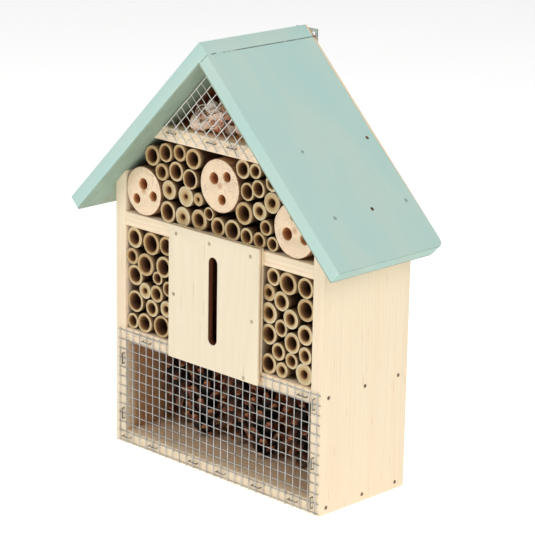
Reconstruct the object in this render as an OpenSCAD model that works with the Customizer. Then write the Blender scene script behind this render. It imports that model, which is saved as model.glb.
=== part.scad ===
/* [Body] */
// Width across the two side walls
body_w = 185; // [150:1:225]
// Depth of the side walls, front to back
body_d = 77; // [64:1:95]
// Height of a side wall at its outer face
wall_h = 176; // [160:1:212]
// Thickness of the walls, shelves and dividers
board_t = 9; // [7:0.5:11]

/* [Compartments] */
// Clear height of the wired compartment at the bottom
lower_h = 62; // [50:1:75]
// Clear height of the middle row, with the butterfly chamber
middle_h = 69; // [56:1:83]
// Clear height between the upper shelf and the attic shelf
upper_h = 53; // [44:1:64]
// Clear width of the butterfly chamber between its dividers
chamber_w = 59; // [48:1:70]

/* [Roof] */
// Pitch of both roof panels, in degrees
roof_pitch = 45; // [42:1:48]
// Length of each slope, ridge to lower edge
roof_slope = 168; // [150:1:200]
// Thickness of a roof panel
roof_t = 9.5; // [8:0.5:11.5]
// How far the roof stands out in front of the walls
roof_overhang = 16; // [8:1:20]

/* [Front panel] */
// Width of the plywood front of the butterfly chamber
panel_w = 80; // [78:1:96]
// Thickness of the plywood front and back
ply_t = 4; // [3:0.5:5]
// How far the front covers the lower shelf's edge
panel_drop = 7.5; // [5:0.5:9]
// How far the front stands above the upper shelf
panel_rise = 1.5; // [0:0.5:3]
// How far the front was nailed on to the right of centre
panel_shift = 1.5; // [0:0.5:2]
// Width of the butterfly slot
slot_w = 8; // [6.5:0.5:10]
// Height of the butterfly slot
slot_h = 57; // [47:1:60]

/* [Wire mesh] */
// Distance between neighbouring wires
mesh_pitch = 6.35; // [5.3:0.05:7.6]
// Thickness of one wire
wire_d = 0.65; // [0.55:0.05:0.8]
// Room between two wires where they cross
wire_room = 0.05; // [0.03:0.01:0.1]
// Length of the cut wire ends past the last weld
wire_tail = 2; // [1:0.5:3]
// Height of the lowest wire above the ground
mesh_bottom = 1.5; // [1:0.5:3]
// Least distance of the outer wires from the sides
mesh_edge = 3.5; // [3:0.5:5]
// How far the mesh sits to the right of centre
mesh_shift = 0.8; // [0:0.1:1]
// Gap between the attic mesh and the roof
attic_mesh_gap = 1.6; // [1:0.1:3]

/* [Nails, staples and hanger] */
// Diameter of a nail's shank
nail_d = 1.4; // [1.2:0.1:1.7]
// Diameter of a nail's head
nail_head_d = 2.4; // [2:0.1:2.9]
// Thickness of a nail's head
nail_head_t = 0.6; // [0.5:0.1:0.8]
// Length of the nails in the walls
wall_nail_l = 25; // [20:1:30]
// How far the roof nails bite into the walls and the attic shelf
roof_nail_bite = 4.5; // [3.5:0.25:4.75]
// Length of the pins in the plywood
pin_l = 15; // [12:1:18]
// Room round a nail, screw or staple in its hole
nail_fit = 0.1; // [0.05:0.05:0.15]
// Distance between a staple's legs
staple_w = 7; // [6:0.5:9]
// Thickness of the staple wire
staple_t = 0.8; // [0.7:0.1:1]
// Depth of a staple's legs in the wood
staple_bite = 4.5; // [3:0.5:4.5]
// Width of the hanger plate
hanger_w = 18; // [16:1:22]
// Length of the hanger plate
hanger_l = 46; // [42:1:54]
// Thickness of the hanger plate
hanger_t = 1.2; // [1:0.1:1.5]
// Diameter of the keyhole's round end
keyhole_d = 8; // [7:0.5:9]
// Width of the keyhole's neck
keyhole_neck = 4; // [3.5:0.25:4.5]
// Shank diameter of the hanger's screws
screw_d = 2.8; // [2.5:0.1:3.3]
// Head diameter of the hanger's screws
screw_head_d = 5.6; // [5:0.1:6.5]
// Height of a screw's head
screw_head_h = 1.6; // [1.4:0.1:1.9]
// Length of a screw below its head
screw_l = 9; // [8:0.5:11]

/* [Canes and logs] */
// Room between neighbouring canes
cane_gap = 0.15; // [0.1:0.05:0.2]
// Thickness of the closed joint at the back of a cane
cane_joint_t = 8; // [6:1:10]
// How far the shortest cane stands back from the front
cane_setback = 1.6; // [1:0.1:2]
// Diameter of a spare cane for a space that is left over
spare_d = 11; // [10:0.5:13]
// Wall thickness of a spare cane
spare_wall = 2; // [1.5:0.25:2.5]
// Diameter of the log at the left
log_left_d = 32.5; // [28:0.5:36]
// Diameter of the log in the middle
log_middle_d = 34.5; // [28:0.5:36]
// Diameter of the log at the right
log_right_d = 34.5; // [28:0.5:36]
// Depth of the nest holes in a log
nest_depth = 50; // [42:1:54]

/* [Pine cones and shavings] */
// Widest diameter of a pine cone
cone_d = 26; // [22:1:28]
// Height of a pine cone
cone_h = 58; // [48:1:60]
// Number of tiers of scales on a cone
cone_tiers = 9; // [7:1:11]
// Depth of the groove between two tiers
cone_groove = 2.4; // [2:0.1:3]
// Number of pine cones
cone_count = 6; // [4:1:6]
// Radius of the largest tuft in the heap of shavings
shavings_r = 13; // [11:0.5:14]

/* [Hidden] */
$fn = 40;

pine = [0.95, 0.86, 0.71];
plywood = [0.96, 0.90, 0.78];
mint = [0.70, 0.83, 0.78];
galvanised = [0.74, 0.75, 0.75];
zinc = [0.70, 0.70, 0.66];
bamboo = [0.84, 0.76, 0.57];
log_wood = [0.95, 0.84, 0.74];
cone_brown = [0.30, 0.17, 0.11];
shaving_pink = [0.90, 0.70, 0.58];

// Big enough to cut right through any board.
past = 400;

// Heights of the shelves, from the ground up.
lower_shelf_z = board_t + lower_h;
upper_shelf_z = lower_shelf_z + board_t + middle_h;
attic_z = upper_shelf_z + board_t + upper_h;

// Inner faces, and how far back the shelves reach.
inner_x = body_w / 2 - board_t;
inner_d = body_d - ply_t;
divider_x = (chamber_w + board_t) / 2;

// Peak of the roof's underside, and the ridge above it.
peak_z = wall_h + body_w / 2 * tan(roof_pitch);
ridge_z = peak_z + roof_t / cos(roof_pitch);
roof_d = roof_overhang + body_d;

// The origin is under the middle of the whole thing, the hanger's screws included.
front_y = roof_overhang - (roof_overhang + body_d + hanger_t + screw_head_h) / 2;

// Half the width under the roof at height z.
function under_roof_x(z) = (peak_z - z) / tan(roof_pitch);

// Moves a piece from the walls' front face to its place over the origin.
module placed() {
    translate([0, front_y, 0]) children();
}

// An outline in the front view, x across and y up, made deep from y0 to y1.
module deep(y0, y1) {
    translate([0, y1, 0]) rotate([90, 0, 0]) linear_extrude(y1 - y0) children();
}

// The outline of everything below the roof.
module under_roof() {
    polygon([
        [-body_w, 0],
        [body_w, 0],
        [body_w, peak_z - body_w * tan(roof_pitch)],
        [0, peak_z],
        [-body_w, peak_z - body_w * tan(roof_pitch)]
    ]);
}

// The frame of the right roof panel: x runs down the slope from the ridge, z outwards.
module right_slope() {
    translate([0, 0, ridge_z]) rotate([0, roof_pitch, 0]) children();
}

// ---- fasteners and their holes ----

// A nail along +z into the wood, its head's top at the origin; room widens it to a hole.
module nail(length, room) {
    translate([0, 0, -room]) cylinder(d = nail_head_d + 2 * room, h = nail_head_t + room);
    cylinder(d = nail_d + 2 * room, h = length + room);
}

// Rows of wall nails, one in each shelf that a wall carries.
wall_nail_rows = [board_t / 2, lower_shelf_z + board_t / 2, upper_shelf_z + board_t / 2];
nail_inset = 6;
rear_nail_inset = 4;
wall_nail_y = [nail_inset, body_d / 2, inner_d - rear_nail_inset];

module wall_nail_set(room) {
    for (side = [-1, 1])
        for (z = wall_nail_rows)
            for (y = wall_nail_y)
                translate([side * body_w / 2, y, z])
                    rotate([0, -side * 90, 0])
                        nail(wall_nail_l, room);
}

// Where the roof nails meet the attic shelf's end and the wall's top, as shares of a board.
shelf_bite_share = 0.38;
wall_bite_share = 0.58;

// Distances down the slope to the nails over the attic shelf and over the wall.
attic_nail_s = (under_roof_x(attic_z + shelf_bite_share * board_t) + roof_t * sin(roof_pitch))
    / cos(roof_pitch);
wall_nail_s = (body_w / 2 - wall_bite_share * board_t + roof_t * sin(roof_pitch)) / cos(roof_pitch);
attic_nail_y = [2 * nail_inset, inner_d - rear_nail_inset];
eave_nail_y = wall_nail_y;

module slope_nail(s, y, room) {
    translate([s, y, 0]) rotate([180, 0, 0]) nail(roof_t + roof_nail_bite, room);
}

module roof_nail_set(room) {
    for (side = [0, 1])
        mirror([side, 0, 0]) right_slope() {
            for (y = attic_nail_y) slope_nail(attic_nail_s, y, room);
            for (y = eave_nail_y) slope_nail(wall_nail_s, y, room);
        }
}

// Nails through the lapping left panel into the end of the right one.
hanger_room = 22;
ridge_nail_y = [2 * nail_inset - roof_overhang, body_d / 2 - nail_inset, body_d - hanger_room];

module ridge_nail_set(room) {
    mirror([1, 0, 0]) right_slope()
        for (y = ridge_nail_y)
            translate([roof_t / 2, y, 0]) rotate([180, 0, 0]) nail(roof_t + pin_l, room);
}

// Thickness of the mesh where its wires cross.
mesh_t = 2 * wire_d + wire_room;

// Number of gaps between wires, across and up.
mesh_cols = floor((body_w - 2 * mesh_edge) / mesh_pitch);
mesh_rows = floor((lower_shelf_z + board_t - mesh_bottom) / mesh_pitch);

// Places of the upright and the level wires.
function wire_x(i) = (i - mesh_cols / 2) * mesh_pitch + mesh_shift;
function wire_z(i) = mesh_bottom + i * mesh_pitch;

// The column and row of the opening that a place in the front view falls in.
function opening_column(x) = floor((x - mesh_shift) / mesh_pitch + mesh_cols / 2);
function opening_row(z) = floor((z - mesh_bottom) / mesh_pitch);

// Pins of the front panel: three along the top, one in each divider, one at the bottom. They are set by
// hand, so they stand a millimetre or two out of line.
front_pins = [
    [-divider_x + 2, upper_shelf_z + board_t / 2 + 1],
    [-2, upper_shelf_z + board_t / 2 + 0.5],
    [divider_x, upper_shelf_z + board_t / 2],
    [-divider_x, lower_shelf_z + board_t + middle_h / 2],
    [divider_x + 2, lower_shelf_z + board_t + middle_h / 2 - 2],
    [
        wire_x(opening_column(divider_x - board_t / 2)) + mesh_pitch / 2,
        wire_z(opening_row(lower_shelf_z + board_t / 2)) + mesh_pitch / 2
    ]
];

module front_pin_set(room) {
    for (p = front_pins)
        translate([p[0], -ply_t, p[1]]) rotate([-90, 0, 0]) nail(pin_l, room);
}

// Pins of the back panel, three in the back edge of each shelf.
back_pin_inset = 20;

module back_pin_set(room) {
    for (z = [board_t / 2, lower_shelf_z + board_t / 2, upper_shelf_z + board_t / 2, attic_z + board_t / 2])
        for (side = [-1, 0, 1])
            translate([side * (min(inner_x, under_roof_x(z)) - back_pin_inset), body_d, z])
                rotate([90, 0, 0])
                    nail(pin_l, room);
}

// ---- wire mesh ----

// Crossings of the attic mesh, counted sideways from the middle and down from the top.
attic_step = mesh_pitch / sqrt(2);
attic_top_z = peak_z - attic_mesh_gap * sqrt(2);
attic_staple_row = round((attic_top_z - attic_z - board_t / 2) / attic_step);

attic_staple_z = attic_top_z - attic_staple_row * attic_step;

// The outermost column where a staple still clears the roof.
attic_staple_reach = floor(
    (under_roof_x(attic_staple_z) - staple_w / 2 - staple_t - attic_mesh_gap) / attic_step
);

// The wanted column, or the next one towards the middle, where two wires cross in the staples' row.
function crossing(column) = column - sign(column) * (abs(column + attic_staple_row) % 2);

module staple(room) {
    for (side = [-1, 1])
        translate([side * staple_w / 2 - staple_t / 2 - room, -mesh_t - staple_t, -staple_t / 2 - room])
            cube([staple_t + 2 * room, mesh_t + staple_t + staple_bite + room, staple_t + 2 * room]);
    translate([-staple_w / 2, -mesh_t - staple_t, -staple_t / 2 - room])
        cube([staple_w, staple_t, staple_t + 2 * room]);
}

// Level staples sit across an upright wire, as [wire, row of openings].
level_staples = [
    [1, 0],
    for (share = [0.18, 0.39, 0.54, 0.71]) [round(share * mesh_cols), 0],
    [mesh_cols - 3, 0],
    [4, mesh_rows - 1], [mesh_cols - 2, mesh_rows - 1]
];
// Upright staples on the walls sit across a level wire, as [column of openings, wire].
upright_staples = [
    [0, 3], [0, mesh_rows - 3],
    [mesh_cols - 1, 1], [mesh_cols - 1, 5], [mesh_cols - 1, mesh_rows - 1]
];

module lower_staple_set(room) {
    for (s = level_staples)
        translate([wire_x(s[0]), 0, wire_z(s[1]) + mesh_pitch / 2]) staple(room);
    for (s = upright_staples)
        translate([wire_x(s[0]) + mesh_pitch / 2, 0, wire_z(s[1])]) rotate([0, 90, 0]) staple(room);
}

module attic_staple_set(room) {
    for (share = [-1, -0.1, 0.35, 1])
        translate([crossing(round(share * attic_staple_reach)) * attic_step, 0, attic_staple_z])
            staple(room);
}

// ---- boards ----

// A level board between the walls, its underside at z, its ends bevelled where the roof is near.
module shelf(z) {
    difference() {
        deep(0, inner_d) intersection() {
            translate([-inner_x, z]) square([2 * inner_x, board_t]);
            under_roof();
        }
        wall_nail_set(nail_fit);
        back_pin_set(nail_fit);
        children();
    }
}

module wall(side) {
    color(pine) difference() {
        deep(0, body_d) intersection() {
            translate([side > 0 ? inner_x : -body_w / 2, 0]) square([board_t, peak_z]);
            under_roof();
        }
        wall_nail_set(nail_fit);
        roof_nail_set(nail_fit);
        lower_staple_set(nail_fit);
    }
}

module left_wall() {
    placed() wall(-1);
}

module right_wall() {
    placed() wall(1);
}

module bottom_board() {
    color(pine) placed() shelf(0) lower_staple_set(nail_fit);
}

module lower_shelf() {
    color(pine) placed() shelf(lower_shelf_z) {
        lower_staple_set(nail_fit);
        front_pin_set(nail_fit);
    }
}

module upper_shelf() {
    color(pine) placed() shelf(upper_shelf_z) front_pin_set(nail_fit);
}

module attic_shelf() {
    color(pine) placed() shelf(attic_z) {
        attic_staple_set(nail_fit);
        roof_nail_set(nail_fit);
    }
}

module divider(side) {
    color(pine) placed() difference() {
        translate([side * divider_x - board_t / 2, 0, lower_shelf_z + board_t])
            cube([board_t, inner_d, middle_h]);
        front_pin_set(nail_fit);
    }
}

module left_divider() {
    divider(-1);
}

module right_divider() {
    divider(1);
}

// ---- plywood ----

keyhole_z = ridge_z - 30;
hanger_top_z = ridge_z - 2;
recess_d = keyhole_d + 2;

module back_panel() {
    color(plywood) placed() difference() {
        deep(inner_d, body_d) intersection() {
            translate([-inner_x, 0]) square([2 * inner_x, peak_z]);
            under_roof();
        }
        back_pin_set(nail_fit);
        // Room behind the keyhole for the head of the nail that it hangs on.
        translate([0, body_d + past / 2, keyhole_z]) rotate([90, 0, 0]) cylinder(d = recess_d, h = past);
        translate([-keyhole_neck / 2 - 1, inner_d - 1, keyhole_z]) cube([keyhole_neck + 2, past, recess_d]);
        hanger_screw_set(nail_fit);
    }
}

panel_z = lower_shelf_z + board_t - panel_drop;
panel_h = panel_drop + middle_h + board_t + panel_rise;
slot_z = lower_shelf_z + board_t + middle_h / 2 + 3;

module front_panel() {
    color(plywood) placed() difference() {
        deep(-ply_t, 0) difference() {
            translate([panel_shift - panel_w / 2, panel_z]) square([panel_w, panel_h]);
            translate([panel_shift - slot_w / 2, slot_z - (slot_h - slot_w) / 2])
                square([slot_w, slot_h - slot_w]);
            for (end = [-1, 1])
                translate([panel_shift, slot_z + end * (slot_h - slot_w) / 2]) circle(d = slot_w);
        }
        // The mesh runs up behind the panel in this rebate.
        translate([-past / 2, -mesh_t - nail_fit, 0])
            cube([past, past, lower_shelf_z + board_t + nail_fit]);
        front_pin_set(nail_fit);
    }
}

// ---- roof ----

module roof_slab() {
    right_slope() translate([-roof_t, -roof_overhang, -roof_t]) cube([roof_slope + roof_t, roof_d, roof_t]);
}

// The left panel runs up to the ridge and laps over the end of the right one.
module roof_left_panel() {
    color(mint) placed() difference() {
        mirror([1, 0, 0]) roof_slab();
        right_slope() translate([-past / 2, -past / 2, 0]) cube(past);
        roof_nail_set(nail_fit);
        ridge_nail_set(nail_fit);
        hanger_screw_set(nail_fit);
    }
}

module roof_right_panel() {
    color(mint) placed() difference() {
        roof_slab();
        mirror([1, 0, 0]) right_slope() translate([-past / 2, -past / 2, -roof_t]) cube(past);
        roof_nail_set(nail_fit);
        ridge_nail_set(nail_fit);
    }
}

// ---- meshes ----

// A straight wire from one point of the front view to another, its middle at depth y.
module wire(from, to, y) {
    run = to - from;
    translate([from[0], y, from[1]]) rotate([0, atan2(run[0], run[1]), 0])
        cylinder(d = wire_d, h = norm(run));
}

// The wires against the wood lie behind those that cross them.
wire_back_y = -wire_d / 2;
wire_front_y = wire_d / 2 - mesh_t;

// Cut ends stand past the outer welds, but not below the ground.
foot_tail = min(wire_tail, mesh_bottom - 0.5);

module lower_mesh() {
    color(galvanised) placed() {
        for (i = [0:mesh_cols])
            wire(
                [wire_x(i), wire_z(0) - foot_tail],
                [wire_x(i), wire_z(mesh_rows) + wire_tail],
                wire_front_y
            );
        for (i = [0:mesh_rows])
            wire(
                [wire_x(0) - wire_tail, wire_z(i)],
                [wire_x(mesh_cols) + wire_tail, wire_z(i)],
                wire_back_y
            );
    }
}

// The attic mesh is turned so that its wires run parallel to the slopes, cut off over its shelf.
attic_foot_z = attic_z + 1;
attic_wires = floor((attic_top_z - attic_foot_z) / attic_step) - 1;
attic_tail = (attic_mesh_gap - wire_d) / sqrt(2);

module attic_mesh() {
    color(galvanised) placed()
        for (i = [0:attic_wires])
            for (side = [-1, 1])
                wire(
                    [side * (i * attic_step + attic_tail), attic_top_z - i * attic_step + attic_tail],
                    [side * (2 * i * attic_step + attic_foot_z - attic_top_z), attic_foot_z],
                    side > 0 ? wire_front_y : wire_back_y
                );
}

module lower_mesh_staples() {
    color(zinc) placed() lower_staple_set(0);
}

module attic_mesh_staples() {
    color(zinc) placed() attic_staple_set(0);
}

module wall_nails() {
    color(zinc) placed() wall_nail_set(0);
}

module roof_nails() {
    color(zinc) placed() roof_nail_set(0);
}

module ridge_nails() {
    color(zinc) placed() ridge_nail_set(0);
}

module front_panel_pins() {
    color(zinc) placed() front_pin_set(0);
}

module back_panel_pins() {
    color(zinc) placed() back_pin_set(0);
}

// ---- hanger ----

upper_screw_z = ridge_z - 7;
lower_screw_z = hanger_top_z - hanger_l + 7;

module hanger_screw_set(room) {
    for (z = [lower_screw_z, upper_screw_z])
        translate([0, body_d + hanger_t, z]) rotate([90, 0, 0]) {
            cylinder(d = screw_d + 2 * room, h = screw_l + room);
            translate([0, 0, -screw_head_h])
                cylinder(d1 = screw_head_d * 0.7, d2 = screw_head_d, h = screw_head_h);
        }
}

module hanger_plate() {
    corner = 3;
    color(galvanised) placed() difference() {
        deep(body_d, body_d + hanger_t) difference() {
            translate([-hanger_w / 2, hanger_top_z - hanger_l]) square([hanger_w, hanger_l]);
            translate([0, keyhole_z]) circle(d = keyhole_d);
            translate([-keyhole_neck / 2, keyhole_z]) square([keyhole_neck, keyhole_d]);
            translate([0, keyhole_z + keyhole_d]) circle(d = keyhole_neck);
            for (side = [-1, 1]) {
                translate([side * (hanger_w / 2 - corner), hanger_top_z - corner]) circle(d = screw_d);
                translate([side * (hanger_w / 2 - corner), hanger_top_z - hanger_l + corner])
                    circle(d = screw_d);
            }
        }
        hanger_screw_set(nail_fit);
    }
}

module hanger_screws() {
    color(zinc) placed() hanger_screw_set(0);
}

// ---- settling canes and logs against each other ----
//
// A side is [nx, nz, c]: everything lies where nx * x + nz * z >= c.
// A cane is [x, z, diameter, bore].

function clearance(side, x, z) = side[0] * x + side[1] * z - side[2];

// Where a circle of radius r touches two sides.
function on_two_sides(a, b, r) =
    let (det = a[0] * b[1] - a[1] * b[0], ca = a[2] + r, cb = b[2] + r)
    abs(det) < 0.01 ? [] : [[(ca * b[1] - a[1] * cb) / det, (a[0] * cb - ca * b[0]) / det]];

// Where it touches a side and a cane.
function on_side_and_cane(side, cane, r) =
    let (reach = cane[2] / 2 + cane_gap + r, rise = r - clearance(side, cane[0], cane[1]))
    abs(rise) > reach ? [] : [
        for (way = [-1, 1])
            [cane[0] + rise * side[0] - way * sqrt(reach * reach - rise * rise) * side[1],
             cane[1] + rise * side[1] + way * sqrt(reach * reach - rise * rise) * side[0]]
    ];

// Where it touches two canes.
function on_two_canes(a, b, r) =
    let (
        ra = a[2] / 2 + cane_gap + r,
        rb = b[2] / 2 + cane_gap + r,
        dx = b[0] - a[0],
        dz = b[1] - a[1],
        d = sqrt(dx * dx + dz * dz),
        along = (d * d + ra * ra - rb * rb) / (2 * d)
    )
    abs(along) > ra ? [] : [
        for (way = [-1, 1])
            [a[0] + (along * dx - way * sqrt(ra * ra - along * along) * dz) / d,
             a[1] + (along * dz + way * sqrt(ra * ra - along * along) * dx) / d]
    ];

function is_free(p, r, sides, canes) =
    len([for (s = sides) if (clearance(s, p[0], p[1]) < r - 0.001) s]) == 0
    && len([
        for (c = canes)
            if (norm([p[0] - c[0], p[1] - c[1]]) < c[2] / 2 + cane_gap + r - 0.001) c
    ]) == 0;

// Where a circle wished for at a point touches one side or one cane, moved straight to it.
function against_side(side, wish, r) =
    let (push = r - clearance(side, wish[0], wish[1]))
    [wish[0] + push * side[0], wish[1] + push * side[1]];

function against_cane(cane, wish, r) =
    let (dx = wish[0] - cane[0], dz = wish[1] - cane[1], d = max(norm([dx, dz]), 0.01))
    [cane[0] + dx / d * (cane[2] / 2 + cane_gap + r), cane[1] + dz / d * (cane[2] / 2 + cane_gap + r)];

// Every free place near the wish where the circle rests against one or two things.
function resting_places(wish, r, sides, canes, near) =
    let (
        s = [for (a = sides) if (clearance(a, wish[0], wish[1]) < r + near) a],
        c = [for (a = canes) if (norm([wish[0] - a[0], wish[1] - a[1]]) < a[2] / 2 + r + near) a],
        all_spots = concat(
            [for (a = s) against_side(a, wish, r + cane_gap)],
            [for (a = c) against_cane(a, wish, r)],
            [
                for (i = [0:1:len(s) - 2])
                    for (j = [i + 1:1:len(s) - 1]) each on_two_sides(s[i], s[j], r + cane_gap)
            ],
            [for (a = s) for (b = c) each on_side_and_cane(a, b, r + cane_gap)],
            [for (i = [0:1:len(c) - 2]) for (j = [i + 1:1:len(c) - 1]) each on_two_canes(c[i], c[j], r)]
        )
    )
    [for (p = all_spots) if (norm([p[0] - wish[0], p[1] - wish[1]]) < near && is_free(p, r, s, c)) p];

function nearest(wish, spots, i = 0, best = 0) =
    i >= len(spots) ? spots[best]
    : nearest(wish, spots, i + 1, norm([spots[i][0] - wish[0], spots[i][1] - wish[1]])
        < norm([spots[best][0] - wish[0], spots[best][1] - wish[1]]) ? i : best);

// Settles one cane near its wish; a thinner one is picked where the wished one won't go in.
function settle_one(cane, sides, canes, thinner = 1) =
    let (spots = resting_places(cane, cane[2] * thinner / 2, sides, canes, cane[2] * 0.8))
    len(spots) > 0 ? [concat(nearest(cane, spots), [cane[2] * thinner, cane[3] * thinner])]
    : thinner > 0.5 ? settle_one(cane, sides, canes, thinner - 0.05)
    : [];

// Settles a list of canes one after the other, each against the ones before it.
function settle(wishes, sides, canes = [], i = 0) =
    i >= len(wishes) ? canes
    : settle(wishes, sides, concat(canes, settle_one(wishes[i], sides, canes)), i + 1);

// Fills what is left of a cell with spare canes, tried on a grid.
function fill_up(grid, sides, canes, i = 0) =
    i >= len(grid) ? canes
    : let (spots = resting_places(grid[i], spare_d / 2, sides, canes, spare_d * 0.6))
        fill_up(grid, sides, len(spots) == 0 ? canes
            : concat(canes, [concat(nearest(grid[i], spots), [spare_d, spare_d - 2 * spare_wall])]), i + 1);

function grid_over(x0, x1, z0, z1) = [
    for (z = [z0 + spare_d / 2:spare_d:z1 - spare_d / 2])
        for (x = [x0 + spare_d / 2:spare_d:x1 - spare_d / 2])
            [x, z]
];

// A cane wished for at [across, up] from a cell's corner.
function from_corner(rows, x0, z0) = [for (r = rows) [x0 + r[0], z0 + r[1], r[2], r[3]]];

cell_z = lower_shelf_z + board_t;
top_z = upper_shelf_z + board_t;
cell_w = inner_x - divider_x - board_t / 2;

function cell_sides(x0, x1, z0, z1) = [[1, 0, x0], [-1, 0, -x1], [0, 1, z0], [0, -1, -z1]];
top_sides = concat(
    cell_sides(-inner_x, inner_x, top_z, attic_z),
    [for (way = [-1, 1]) [way * sin(roof_pitch), -cos(roof_pitch), -peak_z * cos(roof_pitch)]]
);

// Canes as [across, up, diameter, bore], row by row from the floor of their cell.
left_wishes = [
    [4.9, 5.4, 10.5, 7], [17.5, 6.8, 13.5, 9.5], [32.5, 7.6, 15, 11.5],
    [7, 19, 14.5, 11], [23.5, 18, 11.5, 7], [36.6, 20.6, 11, 4.5],
    [16.5, 28, 11, 4], [27.8, 28, 11.5, 7.5], [39.2, 34.5, 10, 7],
    [6.7, 35.5, 14, 9.5], [28.3, 39, 9, 6],
    [5.6, 48.7, 11, 7], [18.2, 46.2, 15, 10.5], [35.3, 48, 14, 10],
    [6.7, 61.3, 14, 9], [22.6, 61, 15, 11], [36, 62, 12.5, 9]
];
right_wishes = [
    [7.3, 7, 13.3, 9], [19.3, 5.5, 10, 5], [37.2, 7, 14, 5.5],
    [26.4, 12, 10.5, 6.5], [16.4, 16.4, 11.4, 7.3], [39, 19.6, 11, 6.5],
    [6.7, 24, 13.4, 9], [27.6, 24, 13.4, 8.5], [17.8, 31.3, 11, 7.3],
    [37.7, 32, 12.8, 7.6], [25.4, 39, 12.5, 7], [6.6, 39.3, 13.5, 7.3],
    [5.8, 52, 11.3, 5.5], [18, 48.4, 12.7, 7.6], [37, 46.3, 14.5, 10],
    [9.7, 62.5, 11.3, 7], [23, 61, 14.4, 10], [37.6, 61, 13, 9.5]
];
// The top cell's canes are wished for from the middle of the shelf.
top_wishes_below = [
    [-44.7, 7, 14, 10], [-31, 6.6, 13, 4], [-17.3, 7, 14, 8.3], [0.5, 6.4, 12.4, 8.2],
    [13.5, 7, 13.8, 9.9], [25.9, 5.8, 11, 7.3], [36.7, 5.5, 10.3, 7], [46, 5, 9.4, 6.4],
    [-8.8, 12.4, 8.6, 6.3], [42.2, 14.5, 10, 6.9]
];
top_wishes_above = [
    [-44.3, 21.3, 12.6, 4.9], [-29.4, 20.3, 13.4, 3.5], [-18.1, 20.2, 8.5, 3],
    [22, 19.6, 14.4, 9.8], [35.6, 23, 11.8, 5.6], [45.3, 29.8, 13.3, 5.8],
    [-50.6, 32, 11.4, 7.5], [-37.5, 34.5, 13, 9.2], [-24, 32.5, 13.2, 10.3],
    [23.8, 33.4, 11.5, 8.6], [35.4, 36.5, 11.2, 8],
    [-59, 41.2, 13.2, 9.2], [-46.5, 45.2, 12.3, 9.3], [-33.7, 47, 11, 7.4], [-21.6, 45.6, 13.4, 9.3],
    [19.4, 45.8, 12.2, 8.3], [30.6, 47.5, 10, 6.3]
];

left_canes = fill_up(
    grid_over(-inner_x, -inner_x + cell_w, cell_z, upper_shelf_z),
    cell_sides(-inner_x, -inner_x + cell_w, cell_z, upper_shelf_z),
    settle(
        from_corner(left_wishes, -inner_x, cell_z),
        cell_sides(-inner_x, -inner_x + cell_w, cell_z, upper_shelf_z)
    )
);
right_canes = fill_up(
    grid_over(inner_x - cell_w, inner_x, cell_z, upper_shelf_z),
    cell_sides(inner_x - cell_w, inner_x, cell_z, upper_shelf_z),
    settle(
        from_corner(right_wishes, inner_x - cell_w, cell_z),
        cell_sides(inner_x - cell_w, inner_x, cell_z, upper_shelf_z)
    )
);

// The outer logs stand in the corners; the middle one lies on the canes below it.
outer_logs = settle(
    [[-inner_x, top_z, log_left_d, 0], [inner_x, top_z, log_right_d, 0]],
    top_sides
);
under_middle_log = settle(from_corner(top_wishes_below, 0, top_z), top_sides, outer_logs);
middle_log = settle_one([1.4, top_z + 32, log_middle_d, 0], top_sides, under_middle_log);
top_pieces = fill_up(
    grid_over(-inner_x, inner_x, top_z, attic_z),
    top_sides,
    settle(from_corner(top_wishes_above, 0, top_z), top_sides, concat(under_middle_log, middle_log))
);
// The logs carry no bore in the list, which tells them from the canes.
top_canes = [for (c = top_pieces) if (c[3] > 0) c];

// A stretch of cane from its place in a settled list, closed at the back by its joint.
module cane(c) {
    front = cane_setback * (0.5 + 0.5 * sin(97 * c[0] + 61 * c[1]));
    length = inner_d - front;
    translate([c[0], inner_d, c[1]]) rotate([90, 0, 0]) difference() {
        cylinder(d = c[2], h = length);
        translate([0, 0, cane_joint_t]) cylinder(d = c[3], h = length);
    }
}

// The canes whose middle lies from one height up to another.
module canes_between(list, z0, z1) {
    color(bamboo) placed()
        for (c = list)
            if (c[1] >= z0 && c[1] < z1)
                cane(c);
}

cell_cut_1 = cell_z + middle_h * 0.33;
cell_cut_2 = cell_z + middle_h * 0.66;
top_cut_1 = top_z + upper_h * 0.33;
top_cut_2 = top_z + upper_h * 0.7;

module left_canes_lower() {
    canes_between(left_canes, 0, cell_cut_1);
}

module left_canes_middle() {
    canes_between(left_canes, cell_cut_1, cell_cut_2);
}

module left_canes_upper() {
    canes_between(left_canes, cell_cut_2, past);
}

module right_canes_lower() {
    canes_between(right_canes, 0, cell_cut_1);
}

module right_canes_middle() {
    canes_between(right_canes, cell_cut_1, cell_cut_2);
}

module right_canes_upper() {
    canes_between(right_canes, cell_cut_2, past);
}

module top_canes_lower() {
    canes_between(top_canes, 0, top_cut_1);
}

module top_canes_middle() {
    canes_between(top_canes, top_cut_1, top_cut_2);
}

module top_canes_upper() {
    canes_between(top_canes, top_cut_2, past);
}

// ---- logs ----

// A log with nest holes, each [direction in degrees, distance from the middle, diameter].
module log(place, holes) {
    length = inner_d - cane_setback / 2;
    color(log_wood) placed() translate([place[0], inner_d, place[1]]) rotate([90, 0, 0]) difference() {
        cylinder(d = place[2], h = length);
        for (hole = holes)
            translate([hole[1] * cos(hole[0]), hole[1] * sin(hole[0]), length - nest_depth])
                cylinder(d = hole[2], h = past);
    }
}

module log_left() {
    log(outer_logs[0], [[97, 4.6, 7.5], [222, 9, 6.5], [-12, 9, 6.5]]);
}

module log_middle() {
    log(middle_log[0], [[142, 6.4, 7.5], [47, 9.2, 6.5], [-76, 8.6, 6.5]]);
}

module log_right() {
    log(outer_logs[1], [[207, 6.8, 8], [95, 9, 6.5], [-25, 9, 6.5]]);
}

// ---- pine cones ----

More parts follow.
